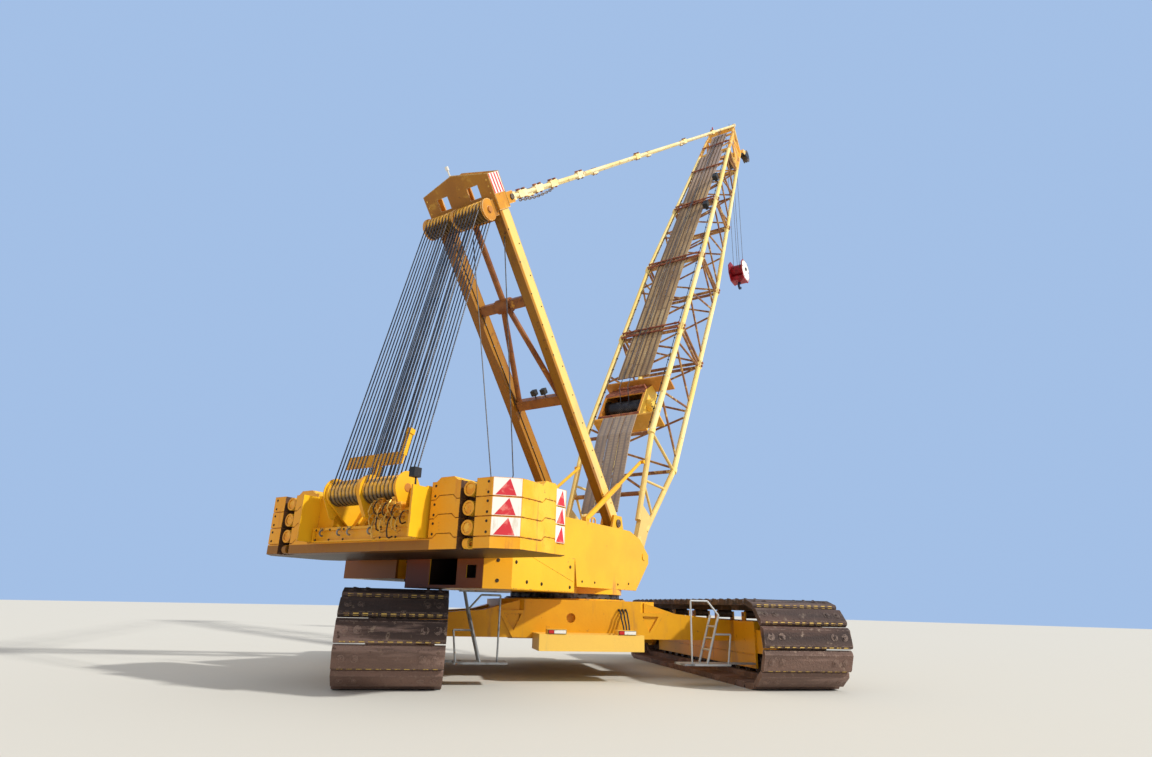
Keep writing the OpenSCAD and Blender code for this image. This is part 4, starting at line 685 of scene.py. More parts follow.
for k in range(9):
    y, z, drop = -1.16 + k * 0.098, 3.09 - 0.09 * (k % 2), 0.20 + 0.05 * (k * 5 % 4)
    rod(couplings, [(BEAM_X, y, z), (-7.15, y, z)], 0.032, 6)
    rod(couplings, [(-7.15, y, z), (-7.20, y, z)], 0.023, 12)
    rod(tail_pipes if k % 3 else tail_hoses, [
        (-7.19, y, z), (-7.235, y, z - 0.02), (-7.265, y + 0.01, z - 0.09),
        (-7.265, y + 0.02, z - drop * 0.7), (-7.23, y + 0.03, z - drop),
        (-7.17, y + 0.04, z - drop - 0.015), (-7.10, y + 0.04, z - drop + 0.02)], 0.014)
for k in range(6):
    y, z = -1.02 + 0.118 * k, 3.20 + 0.045 * (k * 5 % 3)
    block(valves, (-7.20 - 0.03 * (k % 2), y - 0.045, z - 0.07), (-7.08, y + 0.045, z + 0.07))
    block(valves, (-7.16, y - 0.03, z - 0.13), (BEAM_X, y + 0.03, z - 0.05))
    for dy, dz in ((-0.022, 0.035), (0.022, 0.0), (-0.015, -0.04)):
        rod(valve_ends, [(-7.19, y + dy, z + dz), (-7.275, y + dy, z + dz)], 0.017, 6)
        rod(valve_ends, [(-7.275, y + dy, z + dz), (-7.30, y + dy, z + dz)], 0.010, 8)
    rod(tail_pipes if k % 2 else tail_hoses, [
        (-7.29, y, z), (-7.325, y, z - 0.05), (-7.31, y + 0.06, z - 0.14), (-7.25, y + 0.09, z - 0.20),
        (-7.15, y + 0.08, z - 0.24)], 0.013)
piece("valve_blocks", valves, lug_face, "frame_paint", bevel=0.006)
piece("valve_ends", valve_ends, brass, "sheave_paint")
piece("valve_plate", valve_plate, frame_paint, "frame_paint", bevel=0.003)
piece("hose_couplings", couplings, brass, "sheave_paint")
piece("tail_pipes", tail_pipes, brass, "sheave_paint")
piece("tail_hoses", tail_hoses, dark_bolt, "lamp_plastic")
shackles, shackle_pins, tail_bolts, lamp_lead = solids(4)
for y in (-0.22, 0.34, 0.62, 1.12):
    rod(shackles, arc((BEAM_X, y, 2.79), 0.055, 10, 67.5, 292.5), 0.017)
    rod(shackle_pins, [(-7.095, y - 0.05, 2.875), (-7.095, y + 0.05, 2.875)], 0.02)
beam_spots = [(BEAM_X, y, z) for y in (-1.3, -0.9, -0.5, 0.5, 0.9, 1.3) for z in (2.66, 2.85)]
bolts(tail_bolts, beam_spots, (-1, 0, 0))
for y, side in ((-0.952, -1), (-0.03, -1), (0.03, 1), (0.952, 1)):
    bolt_circle(tail_bolts, (lower_nest.x, y, lower_nest.z), 0.15, 8, (0, side, 0), (0.013, 0.012))
piece("tail_shackles", shackles, ladder_grey, "ladder_steel")
piece("shackle_pins", shackle_pins, brass, "sheave_paint")
piece("tail_bolts", tail_bolts, dark_bolt, "bare_steel")
dress(rubber, "tail_lamp", "mast_lamps", "cab_seat")
rod(lamp_lead, [
    (-7.30, -1.48, 3.60), (-7.27, -1.46, 3.50), (-7.25, -1.44, 3.38), (-7.20, -1.44, 3.20),
    (-7.12, -1.43, 3.02), (-7.05, -1.42, 2.93), (-7.0, -1.40, 2.89)], 0.010, 6)
piece("tail_lamp_lead", lamp_lead, rubber, "lamp_plastic")

# Luffing ropes: two sets of greased steel falls with a twisted lay, and two thin ropes from
# the mast head down to the winch and a lead sheave in the frame. The group even_lines marks
# lines of one width at one pitch along a value, here for the lay and later for the walkway.
lines, given, mask = effect("even_lines", Value=0.0, Pitch=0.1, Width=0.3)
step = sums(lines, "FRACT", sums(lines, "DIVIDE", given["Value"], given["Pitch"]))
lines.links.new(sums(lines, "LESS_THAN", step, given["Width"]), mask)

fall_rope = finish("luffing_rope", (0.085, 0.085, 0.095), [
    ((0.21, 0.20, 0.20), 3.0, 0.55, 0.10),
], rough=(0.35, 0.55), metallic=0.5, bump=(120, 0.002))
fall = upper_nest - lower_nest
tree = fall_rope.node_tree
along_rope = place(tree, turned_place, Foot=lower_nest, Turn=(0, math.atan2(fall.z, fall.x), 0))
parts = node(tree, "SeparateXYZ", {0: along_rope}).outputs
lay = sums(tree, "ADD", sums(tree, "MULTIPLY", parts["Y"], 2.0), parts["X"])
paint_over(fall_rope, place(tree, lines, Value=lay, Pitch=0.05, Width=0.35), (0.028, 0.026, 0.028))
dress(fall_rope, "lower_ropes", "upper_ropes")
for name, top, low, foot in (
        ("lead_rope_left", (-4.75, 0.0, 10.25), (-4.50, -0.88, 4.20), (-4.47, -0.905, 3.40)),
        ("lead_rope_right", (-4.62, -0.86, 10.45), (-3.72, -0.89, 4.36), (-3.60, -0.66, 3.52))):
    line = ([], [])
    upper = [Vector(top).lerp(Vector(low), k / 24) for k in range(24)]
    lower = [Vector(low).lerp(Vector(foot), k / 4) for k in range(5)]
    rod(line, upper + lower, 0.013, 6)
    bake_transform(piece(name, line, winch_rope, "rope_steel", None))
LEAD_X, LEAD_Z = -4.35, 3.36
lead_sheave, lead_bracket = solids(2)
for y0, y1, radius, sides in ((-0.925, -0.885, 0.105, 28), (-0.955, -0.860, 0.03, 12)):
    rod(lead_sheave, [(LEAD_X, y0, LEAD_Z), (LEAD_X, y1, LEAD_Z)], radius, sides)
for y0, y1 in ((-1.0, -0.945), (-0.878, -0.863)):
    prism(lead_bracket, [(-4.45, 3.20), (-4.25, 3.20), (-4.29, 3.42), (-4.41, 3.42)], y0, y1)
block(lead_bracket, (-4.45, -1.0, 3.18), (-4.25, -0.863, 3.205))
piece("lead_sheave", lead_sheave, roller_steel, "sheave_paint")
piece("lead_sheave_bracket", lead_bracket, frame_paint, "frame_paint", bevel=0.004)


# Mast: box legs in orange yellow, browner on the bracing, with bolt rows, a cable down the
# left leg, lamp lenses, pins and the striped plates on the sides of the head.
def turned_part(body, foot, turn):
    """What pieces on a part turned about y need to ride it, and its foot and turn for paint."""
    axes = Matrix.Translation(foot) @ Matrix.Rotation(-turn, 4, "Y")
    return {"body": body, "axes": axes}, (foot, (0, turn, 0))


on_mast, along_mast = turned_part("mast", pivot["mast_luff"], math.radians(130))
mast_paint = finish("mast_paint", (0.84, 0.43, 0.016), [
    ((0.74, 0.35, 0.016), 0.8, 0.50, 0.15, (0.4, 1, 1)),
    ((0.36, 0.15, 0.035), 2.6, 0.60, 0.07, (0.25, 1, 1)),
    ((0.15, 0.07, 0.03), 7.0, 0.66, 0.04),
], rough=(0.36, 0.65), bump=(16, 0.005), wear=((0.26, 0.12, 0.04), 0.02, 0.50), axes=along_mast)
# Painted shade on the legs' rear faces, on the rear strip of the right leg's outer face and on the left leg's
# inner side; painted sunlight, a paler yellow, on the front of the right leg's outer face.
shade(mast_paint, (-1, -2, 0.20), (11, 2, 0.4), (0.13, 0.052, 0.012), 0.002, 0.78, along_mast)
shade(mast_paint, (-1, -1.3, -0.4), (11, -0.97, 0.10), (0.92, 0.74, 0.28), 0.015, 0.65, along_mast)
shade(mast_paint, (-1, -1.3, 0.10), (11, -0.95, 0.4), (0.30, 0.125, 0.012), 0.03, 0.8, along_mast)
shade(mast_paint, (-1, 0.7, -0.4), (11, 0.975, 0.4), (0.26, 0.10, 0.012), 0.01, 0.78, along_mast)
dress(mast_paint, "mast_leg_left", "mast_leg_right")
brace_paint = finish("browned_brace_paint", (0.30, 0.115, 0.026), [
    ((0.18, 0.062, 0.024), 2.0, 0.50, 0.14),
    ((0.56, 0.27, 0.04), 4.0, 0.66, 0.06),
    ((0.10, 0.045, 0.025), 9.0, 0.64, 0.05),
], axes=along_mast)
dress(brace_paint, "mast_bracing")
head_paint = finish("mast_head_paint", (0.66, 0.29, 0.018), [
    ((0.48, 0.19, 0.020), 1.2, 0.50, 0.16),
    ((0.78, 0.42, 0.05), 3.0, 0.63, 0.06),
    ((0.16, 0.075, 0.03), 8.0, 0.68, 0.04),
], rough=(0.45, 0.7), bump=(16, 0.006), wear=((0.80, 0.62, 0.34), 0.03, 0.55), axes=along_mast)
# Painted shade: the head's rear face darker.
shade(head_paint, (8, -1.5, 0.255), (11, 1.5, 0.4), (0.16, 0.065, 0.015), 0.004, 0.5, along_mast)
dress(head_paint, "mast_head")
PLATE_Y, BRACE_A = 1.028, 6.75
leg_bolts, leg_welds, mast_cable, mast_clips, whites, reds, mast_pins = solids(7)
for s in (1, -1):
    bolts(leg_bolts, [(0.6 + 0.42 * k, s * 0.99, 0.12 if k % 2 else -0.12) for k in range(20)], (0, s, 0))
    for b in (-0.21, 0.21):
        for y in (0.752, 0.988):
            rod(leg_welds, [(0.35, s * y, b), (9.0, s * y, b)], 0.007, 6)
    block(whites, (9.47, s * PLATE_Y, -0.25), (9.962, s * (PLATE_Y + 0.006), 0.25))
    for b in (-0.20, -0.075, 0.05, 0.175):
        stripe = [(9.475, b), (9.475, b + 0.055), (9.957, b + 0.075), (9.957, b + 0.02)]
        prism(reds, stripe, s * PLATE_Y, s * (PLATE_Y + 0.009))
    for a, b, radius, y in ((9.29, -0.46, 0.075, 1.065), (0.0, 0.0, 0.11, 1.095)):
        rod(mast_pins, [(a, s * (y - 0.05), b), (a, s * y, b)], radius, 20)
        bolts(mast_pins, [(a + e * radius * 0.6, s * y, b) for e in (1, -1)], (0, s, 0), 0.016, 0.014)
rod(mast_cable, [
    (0.6, 0.74, 0.08), (3.7, 0.735, 0.08), (3.78, 0.715, 0.12), (4.12, 0.715, 0.14), (4.2, 0.735, 0.08),
    (8.9, 0.74, 0.08)], 0.011, 6)
for k in range(13):
    block(mast_clips, (0.8 + 0.62 * k, 0.722, 0.06), (0.83 + 0.62 * k, 0.752, 0.10))
mast_lenses, head_trim, head_post, brace_bolts = solids(4)
for y in (0.09, -0.22):
    rod(mast_lenses, [(4.235, y, -0.078), (4.235, y, -0.088)], 0.058, 20)
piece("mast_bolts", leg_bolts, dark_bolt, "bare_steel", **on_mast)
piece("mast_welds", leg_welds, mast_paint, "frame_paint", **on_mast)
piece("mast_cable", mast_cable, rubber, "lamp_plastic", **on_mast)
piece("mast_cable_clips", mast_clips, ladder_grey, "ladder_steel", **on_mast)
piece("mast_lamp_lenses", mast_lenses, lens_white, "lamp_plastic", **on_mast)
piece("head_stripes_white", whites, panel_white, "frame_paint", **on_mast)
piece("head_stripes_red", reds, panel_red, "hook_paint", **on_mast)
piece("mast_pin_heads", mast_pins, roller_steel, "bare_steel", **on_mast)
for b in (-0.24, 0.24):
    rim = [(9.1, -1.03, b), (9.97, -1.03, b), (10.21, 0, b), (9.97, 1.03, b), (9.1, 1.03, b)]
    rod(head_trim, rim, 0.014, 6)
spots = [(9.2 + 0.16 * k, y, 0.26) for k in range(5) for y in (-0.95, 0.95)]
bolts(head_trim, spots, (0, 0, 1), 0.016, 0.012)
for low, high, radius, sides in ((10.17, 10.38, 0.022, 10), (10.36, 10.46, 0.045, 14)):
    rod(head_post, [(low, 0.06, 0.20), (high, 0.06, 0.20)], radius, sides)
piece("head_plate_trim", head_trim, brass, "frame_paint", **on_mast)
piece("head_beacon", head_post, lens_white, "lamp_plastic", **on_mast)
for s in (1, -1):
    bolt_circle(brace_bolts, (BRACE_A, s * 0.21, 0), 0.13, 10, (0, s, 0), (0.014, 0.012))
    spots = [(a + d, s * 0.70, 0.131) for a in (3.95, BRACE_A) for d in (-0.09, 0.09)]
    bolts(brace_bolts, spots, (0, 0, 1))
piece("brace_bolts", brace_bolts, dark_bolt, "bare_steel", **on_mast)

# Boom: tubes in an older, paler yellow, chalky on the chords and rusty brown on the lacing,
# with an orange winch box in the foot, a browner tip and pale pendants.
on_boom, along_boom = turned_part("boom", pivot["boom_luff"], math.radians(59.7))
SECTION_ENDS, TAPER_AT, TAPER_END = (9.4, 14.3, 19.6), 14.3, 28.0
HALF_WIDTH, HALF_DEPTH = (1.24, 0.77), (0.96, 0.625)
lacing_paint = finish("browned_lacing_paint", (0.46, 0.235, 0.080), [
    ((0.24, 0.10, 0.050), 1.6, 0.47, 0.10),
    ((0.70, 0.50, 0.20), 4.0, 0.60, 0.06),
    ((0.17, 0.080, 0.055), 7.0, 0.62, 0.05),
], rough=(0.55, 0.8), bump=(20, 0.006), axes=along_boom)

# Chord lines: 1 near the four corners of the lattice, which taper above the middle section
chords, given, mask = effect("chord_lines", Place=ORIGIN, Reach=0.115)
parts = node(chords, "SeparateXYZ", {0: given["Place"]}).outputs
near = []
for axis, (wide, slim) in (("Y", HALF_WIDTH), ("Z", HALF_DEPTH)):
    limit = node(chords, "MapRange", {
        "Value": parts["X"], "From Min": TAPER_AT, "From Max": TAPER_END, "To Min": wide, "To Max": slim})
    inner = sums(chords, "SUBTRACT", limit.outputs[0], given["Reach"])
    near.append(sums(chords, "GREATER_THAN", sums(chords, "ABSOLUTE", parts[axis]), inner))
chords.links.new(sums(chords, "MULTIPLY", *near), mask)
tree = lacing_paint.node_tree
boom_place = place(tree, turned_place, Foot=along_boom[0], Turn=along_boom[1])
chalk = place(tree, patches, Place=boom_place, Scale=1.2, Share=0.52, Softness=0.14, Stretch=(0.3, 1, 1))
scuffs = place(tree, patches, Place=boom_place, Scale=6.0, Share=0.66, Softness=0.05)
chord_colour = blend_colour(tree, chalk, (0.87, 0.65, 0.20), (0.90, 0.76, 0.38))
chord_colour = blend_colour(tree, scuffs, chord_colour, (0.40, 0.22, 0.09))
paint_over(lacing_paint, place(tree, chords, Place=boom_place), chord_colour)
for low, high in ((-1.45, -1.12), (1.12, 1.45)):
    shade(lacing_paint, (-1, low, -2), (4.05, high, 2), (0.88, 0.66, 0.22), 0.03, 0.75, along_boom)
shade(lacing_paint, (4.85, -1.4, 0.20), (4.99, 1.4, 1.0), (0.80, 0.42, 0.05), 0.004, 0.85, along_boom)
shade(lacing_paint, (6.66, -1.4, 0.20), (6.78, 1.4, 1.0), (0.62, 0.28, 0.05), 0.004, 0.85, along_boom)
dress(lacing_paint, "boom_foot", "boom_middle", "boom_top")
pale_paint = finish("chalky_pale_yellow", (0.88, 0.68, 0.26), [
    ((0.90, 0.79, 0.48), 1.2, 0.50, 0.14),
    ((0.42, 0.22, 0.08), 4.0, 0.62, 0.05),
    ((0.14, 0.08, 0.05), 9.0, 0.68, 0.04),
], wear=((0.24, 0.12, 0.06), 0.02, 0.5), axes=along_boom)
dress(pale_paint, "pendants")
tip_paint = finish("boom_tip_paint", (0.84, 0.42, 0.05), [
    ((0.86, 0.60, 0.20), 1.0, 0.52, 0.14),
    ((0.44, 0.19, 0.06), 3.0, 0.58, 0.06),
    ((0.16, 0.075, 0.05), 8.0, 0.64, 0.05),
], axes=along_boom)
shade(tip_paint, (28.2, -1.5, -2.4), (29.8, -0.60, -0.93), (0.020, 0.020, 0.026), axes=along_boom)
dress(tip_paint, "boom_tip")
winch_paint = finish("hoist_winch_paint", (0.80, 0.34, 0.030), [
    ((0.58, 0.22, 0.040), 1.6, 0.48, 0.10),
    ((0.84, 0.52, 0.10), 4.0, 0.62, 0.06),
    ((0.16, 0.070, 0.045), 8.0, 0.64, 0.05),
], wear=((0.22, 0.10, 0.05), 0.025, 0.5), axes=along_boom)
# Painted shade: the inside of the winch hood near black.
for high in ((6.12, 1.05, 0.885), (6.66, 1.05, 0.62)):
    shade(winch_paint, (5.00, -0.49, 0.10), high, (0.020, 0.015, 0.012), 0.004, 0.97, along_boom)
shade(winch_paint, (4.97, -0.90, 0.05), (6.8, -0.515, 1.0), (0.88, 0.62, 0.10), 0.004, 0.85, along_boom)
shade(winch_paint, (4.80, -1.4, 0.20), (4.965, 1.4, 1.0), (0.82, 0.44, 0.06), 0.004, 0.8, along_boom)
shade(winch_paint, (6.68, -1.4, 0.20), (6.78, 1.4, 1.0), (0.62, 0.28, 0.05), 0.004, 0.85, along_boom)
dress(winch_paint, "hoist_winch")
dress(winch_rope, "hook_ropes")
head_sheaves = sheave_paint("head_sheave_paint", pivot["hook_swing"])
shade(head_sheaves, (20, -3, -4), (31, 3, 2), (0.030, 0.028, 0.032), most=0.9, axes=along_boom)
dress(head_sheaves, "tip_sheaves")
rust = finish("red_brown_rust", (0.25, 0.075, 0.045), [
    ((0.40, 0.15, 0.07), 3.0, 0.52, 0.10),
    ((0.09, 0.04, 0.035), 8.0, 0.58, 0.06),
], rough=(0.7, 0.9), bump=(30, 0.006))

# Walkway and what runs along the boom: grating boards, tan and brown with dirt, lilac grey
# near the head. Rollers, hoist ropes, chord pins, cables, drum rope and lamps are added.
walkway = finish("walkway_grating", (0.56, 0.38, 0.18), [
    ((0.24, 0.155, 0.085), 1.6, 0.50, 0.10, (0.16, 1, 1)),
    ((0.56, 0.44, 0.25), 3.0, 0.60, 0.07, (0.12, 1, 1)),
    ((0.13, 0.085, 0.06), 6.0, 0.62, 0.05),
], rough=(0.6, 0.85), metallic=0.2, bump=(30, 0.008), axes=along_boom)
tree = walkway.node_tree
boom_place = place(tree, turned_place, Foot=along_boom[0], Turn=along_boom[1])
parts = node(tree, "SeparateXYZ", {0: boom_place}).outputs
bare = node(tree, "MapRange", {"Value": parts["X"], "From Min": 20.5, "From Max": 23.5, "To Max": 0.75})
paint_over(walkway, bare.outputs[0], (0.46, 0.38, 0.38))
for axis, pitch, width, gap_colour in (
        ("X", 0.10, 0.30, (0.38, 0.24, 0.13)), ("Y", 0.21, 0.32, (0.17, 0.11, 0.07))):
    paint_over(walkway, place(tree, lines, Value=parts[axis], Pitch=pitch, Width=width), gap_colour)
shade(walkway, (-1, -2, -2), (4.9, 2, 2), (0.33, 0.30, 0.30), 0.05, 0.55, along_boom)
dress(walkway, "boom_walkway")


def half_size(size, s):
    """Half the lattice's width or depth at a place along the boom."""
    return size[0] + (size[1] - size[0]) * max(s - TAPER_AT, 0) / (TAPER_END - TAPER_AT)


head_boards, face_boxes, rollers, roller_feet, chord_pins, boom_cable, cable_clips = solids(7)
for y in (-0.44, -0.22, 0.0, 0.22):
    prism(head_boards, [(25.56, 0.745), (28.05, 0.69), (28.05, 0.72), (25.56, 0.775)], y, y + 0.20)
for s in (18.7, 21.7):
    face = half_size(HALF_DEPTH, s)
    block(face_boxes, (s, -0.86, face + 0.10), (s + 0.36, -0.62, face + 0.34))
    for leg in (0.06, 0.24):
        block(face_boxes, (s + leg, -0.80, face - 0.02), (s + leg + 0.04, -0.68, face + 0.12))
piece("head_grating", head_boards, walkway, "grating_steel", bevel=0.004, **on_boom)
piece("face_boxes", face_boxes, rubber, "lamp_plastic", bevel=0.01, **on_boom)
HOOD_ROLLER_S, HOOD_ROLLER_B = 6.25, 1.05
for s in (HOOD_ROLLER_S, 9.27, 9.53, 14.17, 14.43, 19.47, 19.73, 23.6, 26.6):
    b, w = half_size(HALF_DEPTH, s) + 0.155, half_size(HALF_WIDTH, s) - 0.06
    if s == HOOD_ROLLER_S:
        b, w = HOOD_ROLLER_B, 0.5
    rod(rollers, [(s, -w, b), (s, w, b)], 0.035, 12)
    for k in range(5):
        y = -w + 0.15 + k * (2 * w - 0.3) / 4
        rod(rollers, [(s, y - 0.04, b), (s, y + 0.04, b)], 0.05, 12)
    foot = [(s - 0.05, b - 0.16), (s + 0.05, b - 0.16), (s + 0.035, b + 0.05), (s - 0.035, b + 0.05)]
    for e in (-1, 1):
        prism(roller_feet, foot, e * w - 0.012, e * w + 0.012)
for s in SECTION_ENDS:
    for side in (-1, 1):
        for b in (-half_size(HALF_DEPTH, s), half_size(HALF_DEPTH, s)):
            for a in (s - 0.085, s + 0.085):
                y = side * half_size(HALF_WIDTH, s)
                rod(chord_pins, [(a, y - 0.135, b), (a, y + 0.135, b)], 0.036, 12)
                rod(chord_pins, [(a, y - 0.15, b), (a, y - 0.125, b)], 0.052, 12)
for side in (-1, 1):
    line = [(s, side * (half_size(HALF_WIDTH, s) - 0.13), half_size(HALF_DEPTH, s) + 0.055)
            for s in (4.2, 9.0, TAPER_AT, 20.0, 25.4)]
    rod(boom_cable, line, 0.014, 6)
    for k in range(34):
        s = 4.4 + 0.62 * k
        y, face = side * (half_size(HALF_WIDTH, s) - 0.13), half_size(HALF_DEPTH, s)
        block(cable_clips, (s, y - 0.024, face + 0.025), (s + 0.03, y + 0.024, face + 0.075))
piece("rope_rollers", rollers, rust, "bare_steel", **on_boom)
piece("roller_brackets", roller_feet, rust, "boom_paint", **on_boom)
piece("chord_pins", chord_pins, rust, "bare_steel", **on_boom)
piece("boom_cables", boom_cable, rubber, "lamp_plastic", **on_boom)
piece("boom_cable_clips", cable_clips, dark_bolt, "bare_steel", **on_boom)
for name, start, end in (("hoist_rope_1", 0.10, 0.055), ("hoist_rope_2", 0.42, -0.055)):
    hoist = ([], [])
    line = [(5.633, start, 0.679), (6.14, start, 1.10)]
    for k in range(25):
        s = HOOD_ROLLER_S + (28.2 - HOOD_ROLLER_S) * k / 24
        height = half_size(HALF_DEPTH, s) + 0.205
        line.append((s, start + (end - start) * k / 24, max(height, 1.10) if s < 9.27 else height))
    line += [(28.70, end, 0.80), (28.86, end, 0.75), (28.95, end, 0.60), (29.0, end, -1.32)]
    rod(hoist, line, 0.014, 6)
    piece(name, hoist, fall_rope, "rope_steel", **on_boom)
DRUM_S, DRUM_B, HOOD_Y0, HOOD_Y1 = 5.8, 0.48, -0.50, 1.06
hood_shade_sheet, drum_rope, hood_roof, hood_bolts, head_leads, lamp_stems, head_lens = solids(7)
for k in range(36):
    rod(drum_rope, arc((DRUM_S, -0.34 + 0.0345 * k, DRUM_B), 0.272, 24), 0.0135, 5)
for outline in (
        [(6.05, 0.918), (6.185, 0.918), (6.66, 0.668), (6.66, 0.674), (6.187, 0.925), (6.05, 0.925)],
        [(4.97, 0.872), (5.05, 0.917), (5.10, 0.918), (5.10, 0.925), (5.047, 0.924), (4.97, 0.880)]):
    prism(hood_roof, outline, HOOD_Y0, HOOD_Y1)
bolts(hood_bolts, [(s, y, 0.916) for s in (5.09, 6.10) for y in (-0.46, -0.1, 0.28, 0.66, 1.02)],
      (0, 0, 1), 0.014, 0.014)
bolt_circle(hood_bolts, (DRUM_S, -0.72, DRUM_B), 0.19, 12, (0, -1, 0), (0.016, 0.014))
# A dark sheet across the floor of the winch hood: painted shade.
block(hood_shade_sheet, (4.97, HOOD_Y0, 0.13), (6.67, HOOD_Y1, 0.145))
piece("hood_shade_sheet", hood_shade_sheet, recess_shade_paint, "frame_paint", **on_boom)
piece("hoist_drum_rope", drum_rope, fall_rope, "rope_steel", **on_boom)
piece("hood_roof_strips", hood_roof, rust, "frame_paint", **on_boom)
piece("hood_bolts", hood_bolts, dark_bolt, "bare_steel", **on_boom)
for k in range(7):
    y = -0.62 + 0.2 * k
    rod(head_leads, [
        (28.62, y, 0.75), (28.66, y + 0.02, 0.79), (28.72, y + 0.06, 0.80), (28.78, y + 0.09, 0.78),
        (28.83, y + 0.10, 0.72)], 0.016, 6)
rod(lamp_stems, [(28.80, 0.5, 0.74), (28.95, 0.5, 0.90)], 0.014, 8)
rod(lamp_stems, [(28.80, -0.5, 0.74), (28.92, -0.5, 0.88)], 0.012, 8)
rod(head_lens, [(28.93, 0.5, 0.88), (29.02, 0.5, 0.975)], 0.035, 12)
piece("head_leads", head_leads, rubber, "lamp_plastic", **on_boom)
piece("head_lamp_stems", lamp_stems, ladder_grey, "ladder_steel", **on_boom)
piece("head_lamp_lens", head_lens, lens_red, "lamp_plastic", **on_boom)

# Pendants: rusty pins and dark keeper plates at every fork, and the loose chain that hangs
# under the first bars.
PENDANT_LEN, PENDANT_END_X, PENDANT_END_Z = 26.057, 15.598, 28.121
start = pivot["pendant_swing"]
slope = math.atan2(PENDANT_END_Z - start.z, PENDANT_END_X - start.x)
on_pendants = turned_part("pendants", start, slope)[0]
fork_pins, keepers, chains = solids(3)
for side in (-1, 1):
    for share in (0.02, 0.055, 0.09, 0.16, 0.36, 0.6, 0.8):
        x, y = 0.13 + PENDANT_LEN * share, side * (0.95 - 0.105 * share)
        for pin_x in (x - 0.14, x + 0.14):
            rod(fork_pins, [(pin_x, y, -0.125), (pin_x, y, 0.125)], 0.036, 12)
            rod(fork_pins, [(pin_x, y, 0.10), (pin_x, y, 0.14)], 0.055, 12)
        block(keepers, (x - 0.17, y - 0.02, 0.125), (x + 0.17, y + 0.02, 0.135))
    for j in range(16):
        x, y, z = 0.5 + 0.12 * j, side * 0.945, -0.14 - 0.05 * math.sin(math.pi * j / 15)
        link = []
        for turn in (2 * math.pi * k / 10 for k in range(11)):
            aside = 0.03 * math.sin(turn)
            link.append((x + 0.07 * math.cos(turn), y + (aside if j % 2 else 0), z + (0 if j % 2 else aside)))
        rod(chains, link, 0.014, 5)
piece("pendant_pins", fork_pins, rust, "bare_steel", **on_pendants)
piece("pendant_keepers", keepers, dark_bolt, "bare_steel", **on_pendants)
piece("pendant_chains", chains, roller_steel, "bare_steel", **on_pendants)

# Hook block: dark red cheeks with a pale panel on each, bolts, a nut on the sheave shaft and
# a dark forged hook.
hook_paint = finish("hook_block_paint", (0.34, 0.010, 0.018), [
    ((0.17, 0.012, 0.018), 4.0, 0.55, 0.06),
], rough=(0.35, 0.6), bump=(20, 0.005), wear=((0.10, 0.03, 0.03), 0.015, 0.5))
shade(hook_paint, (16, -1, 18), (19, 1, 18.97), (0.020, 0.022, 0.050))
dress(hook_paint, "hook_block")
HOOK_X, HOOK_Z, PANEL_Y = 17.334, 19.690, 0.396
hook_white, hook_bolts = solids(2)
panel = [(-0.30, 0.47), (0.30, 0.47), (0.60, 0.17), (0.60, -0.26), (0.33, -0.62), (-0.33, -0.62),
         (-0.60, -0.26), (-0.60, 0.17)]
panel_bolts = [(-0.28, 0.40), (0.28, 0.40), (0.52, 0.0), (-0.52, 0.0), (0.28, -0.55), (-0.28, -0.55)]
for s in (1, -1):
    prism(hook_white, [(HOOK_X + a, HOOK_Z + b) for a, b in panel], s * (PANEL_Y - 0.007), s * PANEL_Y)
    rod(hook_bolts, [(HOOK_X, s * 0.39, HOOK_Z), (HOOK_X, s * 0.44, HOOK_Z)], 0.11, 6)
    bolts(hook_bolts, [(HOOK_X + a, s * PANEL_Y, HOOK_Z + b) for a, b in panel_bolts], (0, s, 0), 0.02, 0.018)
piece("hook_cheek_panels", hook_white, panel_white, "hook_paint", "hook")
piece("hook_bolts", hook_bolts, dark_bolt, "bare_steel", "hook")

# Cab: glass panes with rubber seals, wiper, mirrors, handrails, door handle and hinges, and
# a control stand beside the seat.
glass = finish("cab_glass", (0.62, 0.70, 0.70), [
    ((0.50, 0.58, 0.57), 2.0, 0.5, 0.2),
], rough=(0.04, 0.10), bump=(40, 0.02), coat=0.5)
glass.node_tree.nodes["Principled BSDF"].inputs["Alpha"].default_value = 0.34
GLASS_T = 0.01
panes, seals, door_pane, door_seal = solids(4)
for sheets, edging, low, far, axis in (
        (panes, seals, (2.610, 1.765, 2.485), (2.610, 2.915, 4.015), 0),
        (panes, seals, (0.475, 1.845, 3.015), (0.475, 2.835, 3.905), 0),
        (panes, seals, (0.955, 1.665, 2.915), (2.445, 1.665, 3.985), 1),
        (panes, seals, (0.575, 3.005, 3.015), (1.185, 3.005, 3.955), 1),
        (panes, seals, (1.755, 1.845, 4.125), (2.445, 2.835, 4.125), 2),
        (door_pane, door_seal, (1.455, 3.016, 2.865), (2.395, 3.016, 3.955), 1)):
    block(sheets, low, [value + GLASS_T * (k == axis) for k, value in enumerate(far)])
    a, b = (k for k in range(3) if k != axis)
    ring = []
    for u, v in ((low[a], low[b]), (far[a], low[b]), (far[a], far[b]), (low[a], far[b]), (low[a], low[b])):
        corner = [low[axis] + GLASS_T / 2] * 3
        corner[a], corner[b] = u, v
        ring.append(corner)
    for start, end in zip(ring, ring[1:]):
        rod(edging, [start, end], 0.012, 6)
piece("cab_panes", panes, glass, "lamp_plastic")
piece("cab_seals", seals, rubber, "lamp_plastic")
piece("door_pane", door_pane, glass, "lamp_plastic", "cab_door")
piece("door_seal", door_seal, rubber, "lamp_plastic", "cab_door")
wiper, mirrors, mirror_glass, rails, controls, door_parts = solids(6)
rod(wiper, [(2.655, 2.34, 2.52), (2.668, 2.34, 2.56), (2.668, 2.62, 3.30)], 0.010)
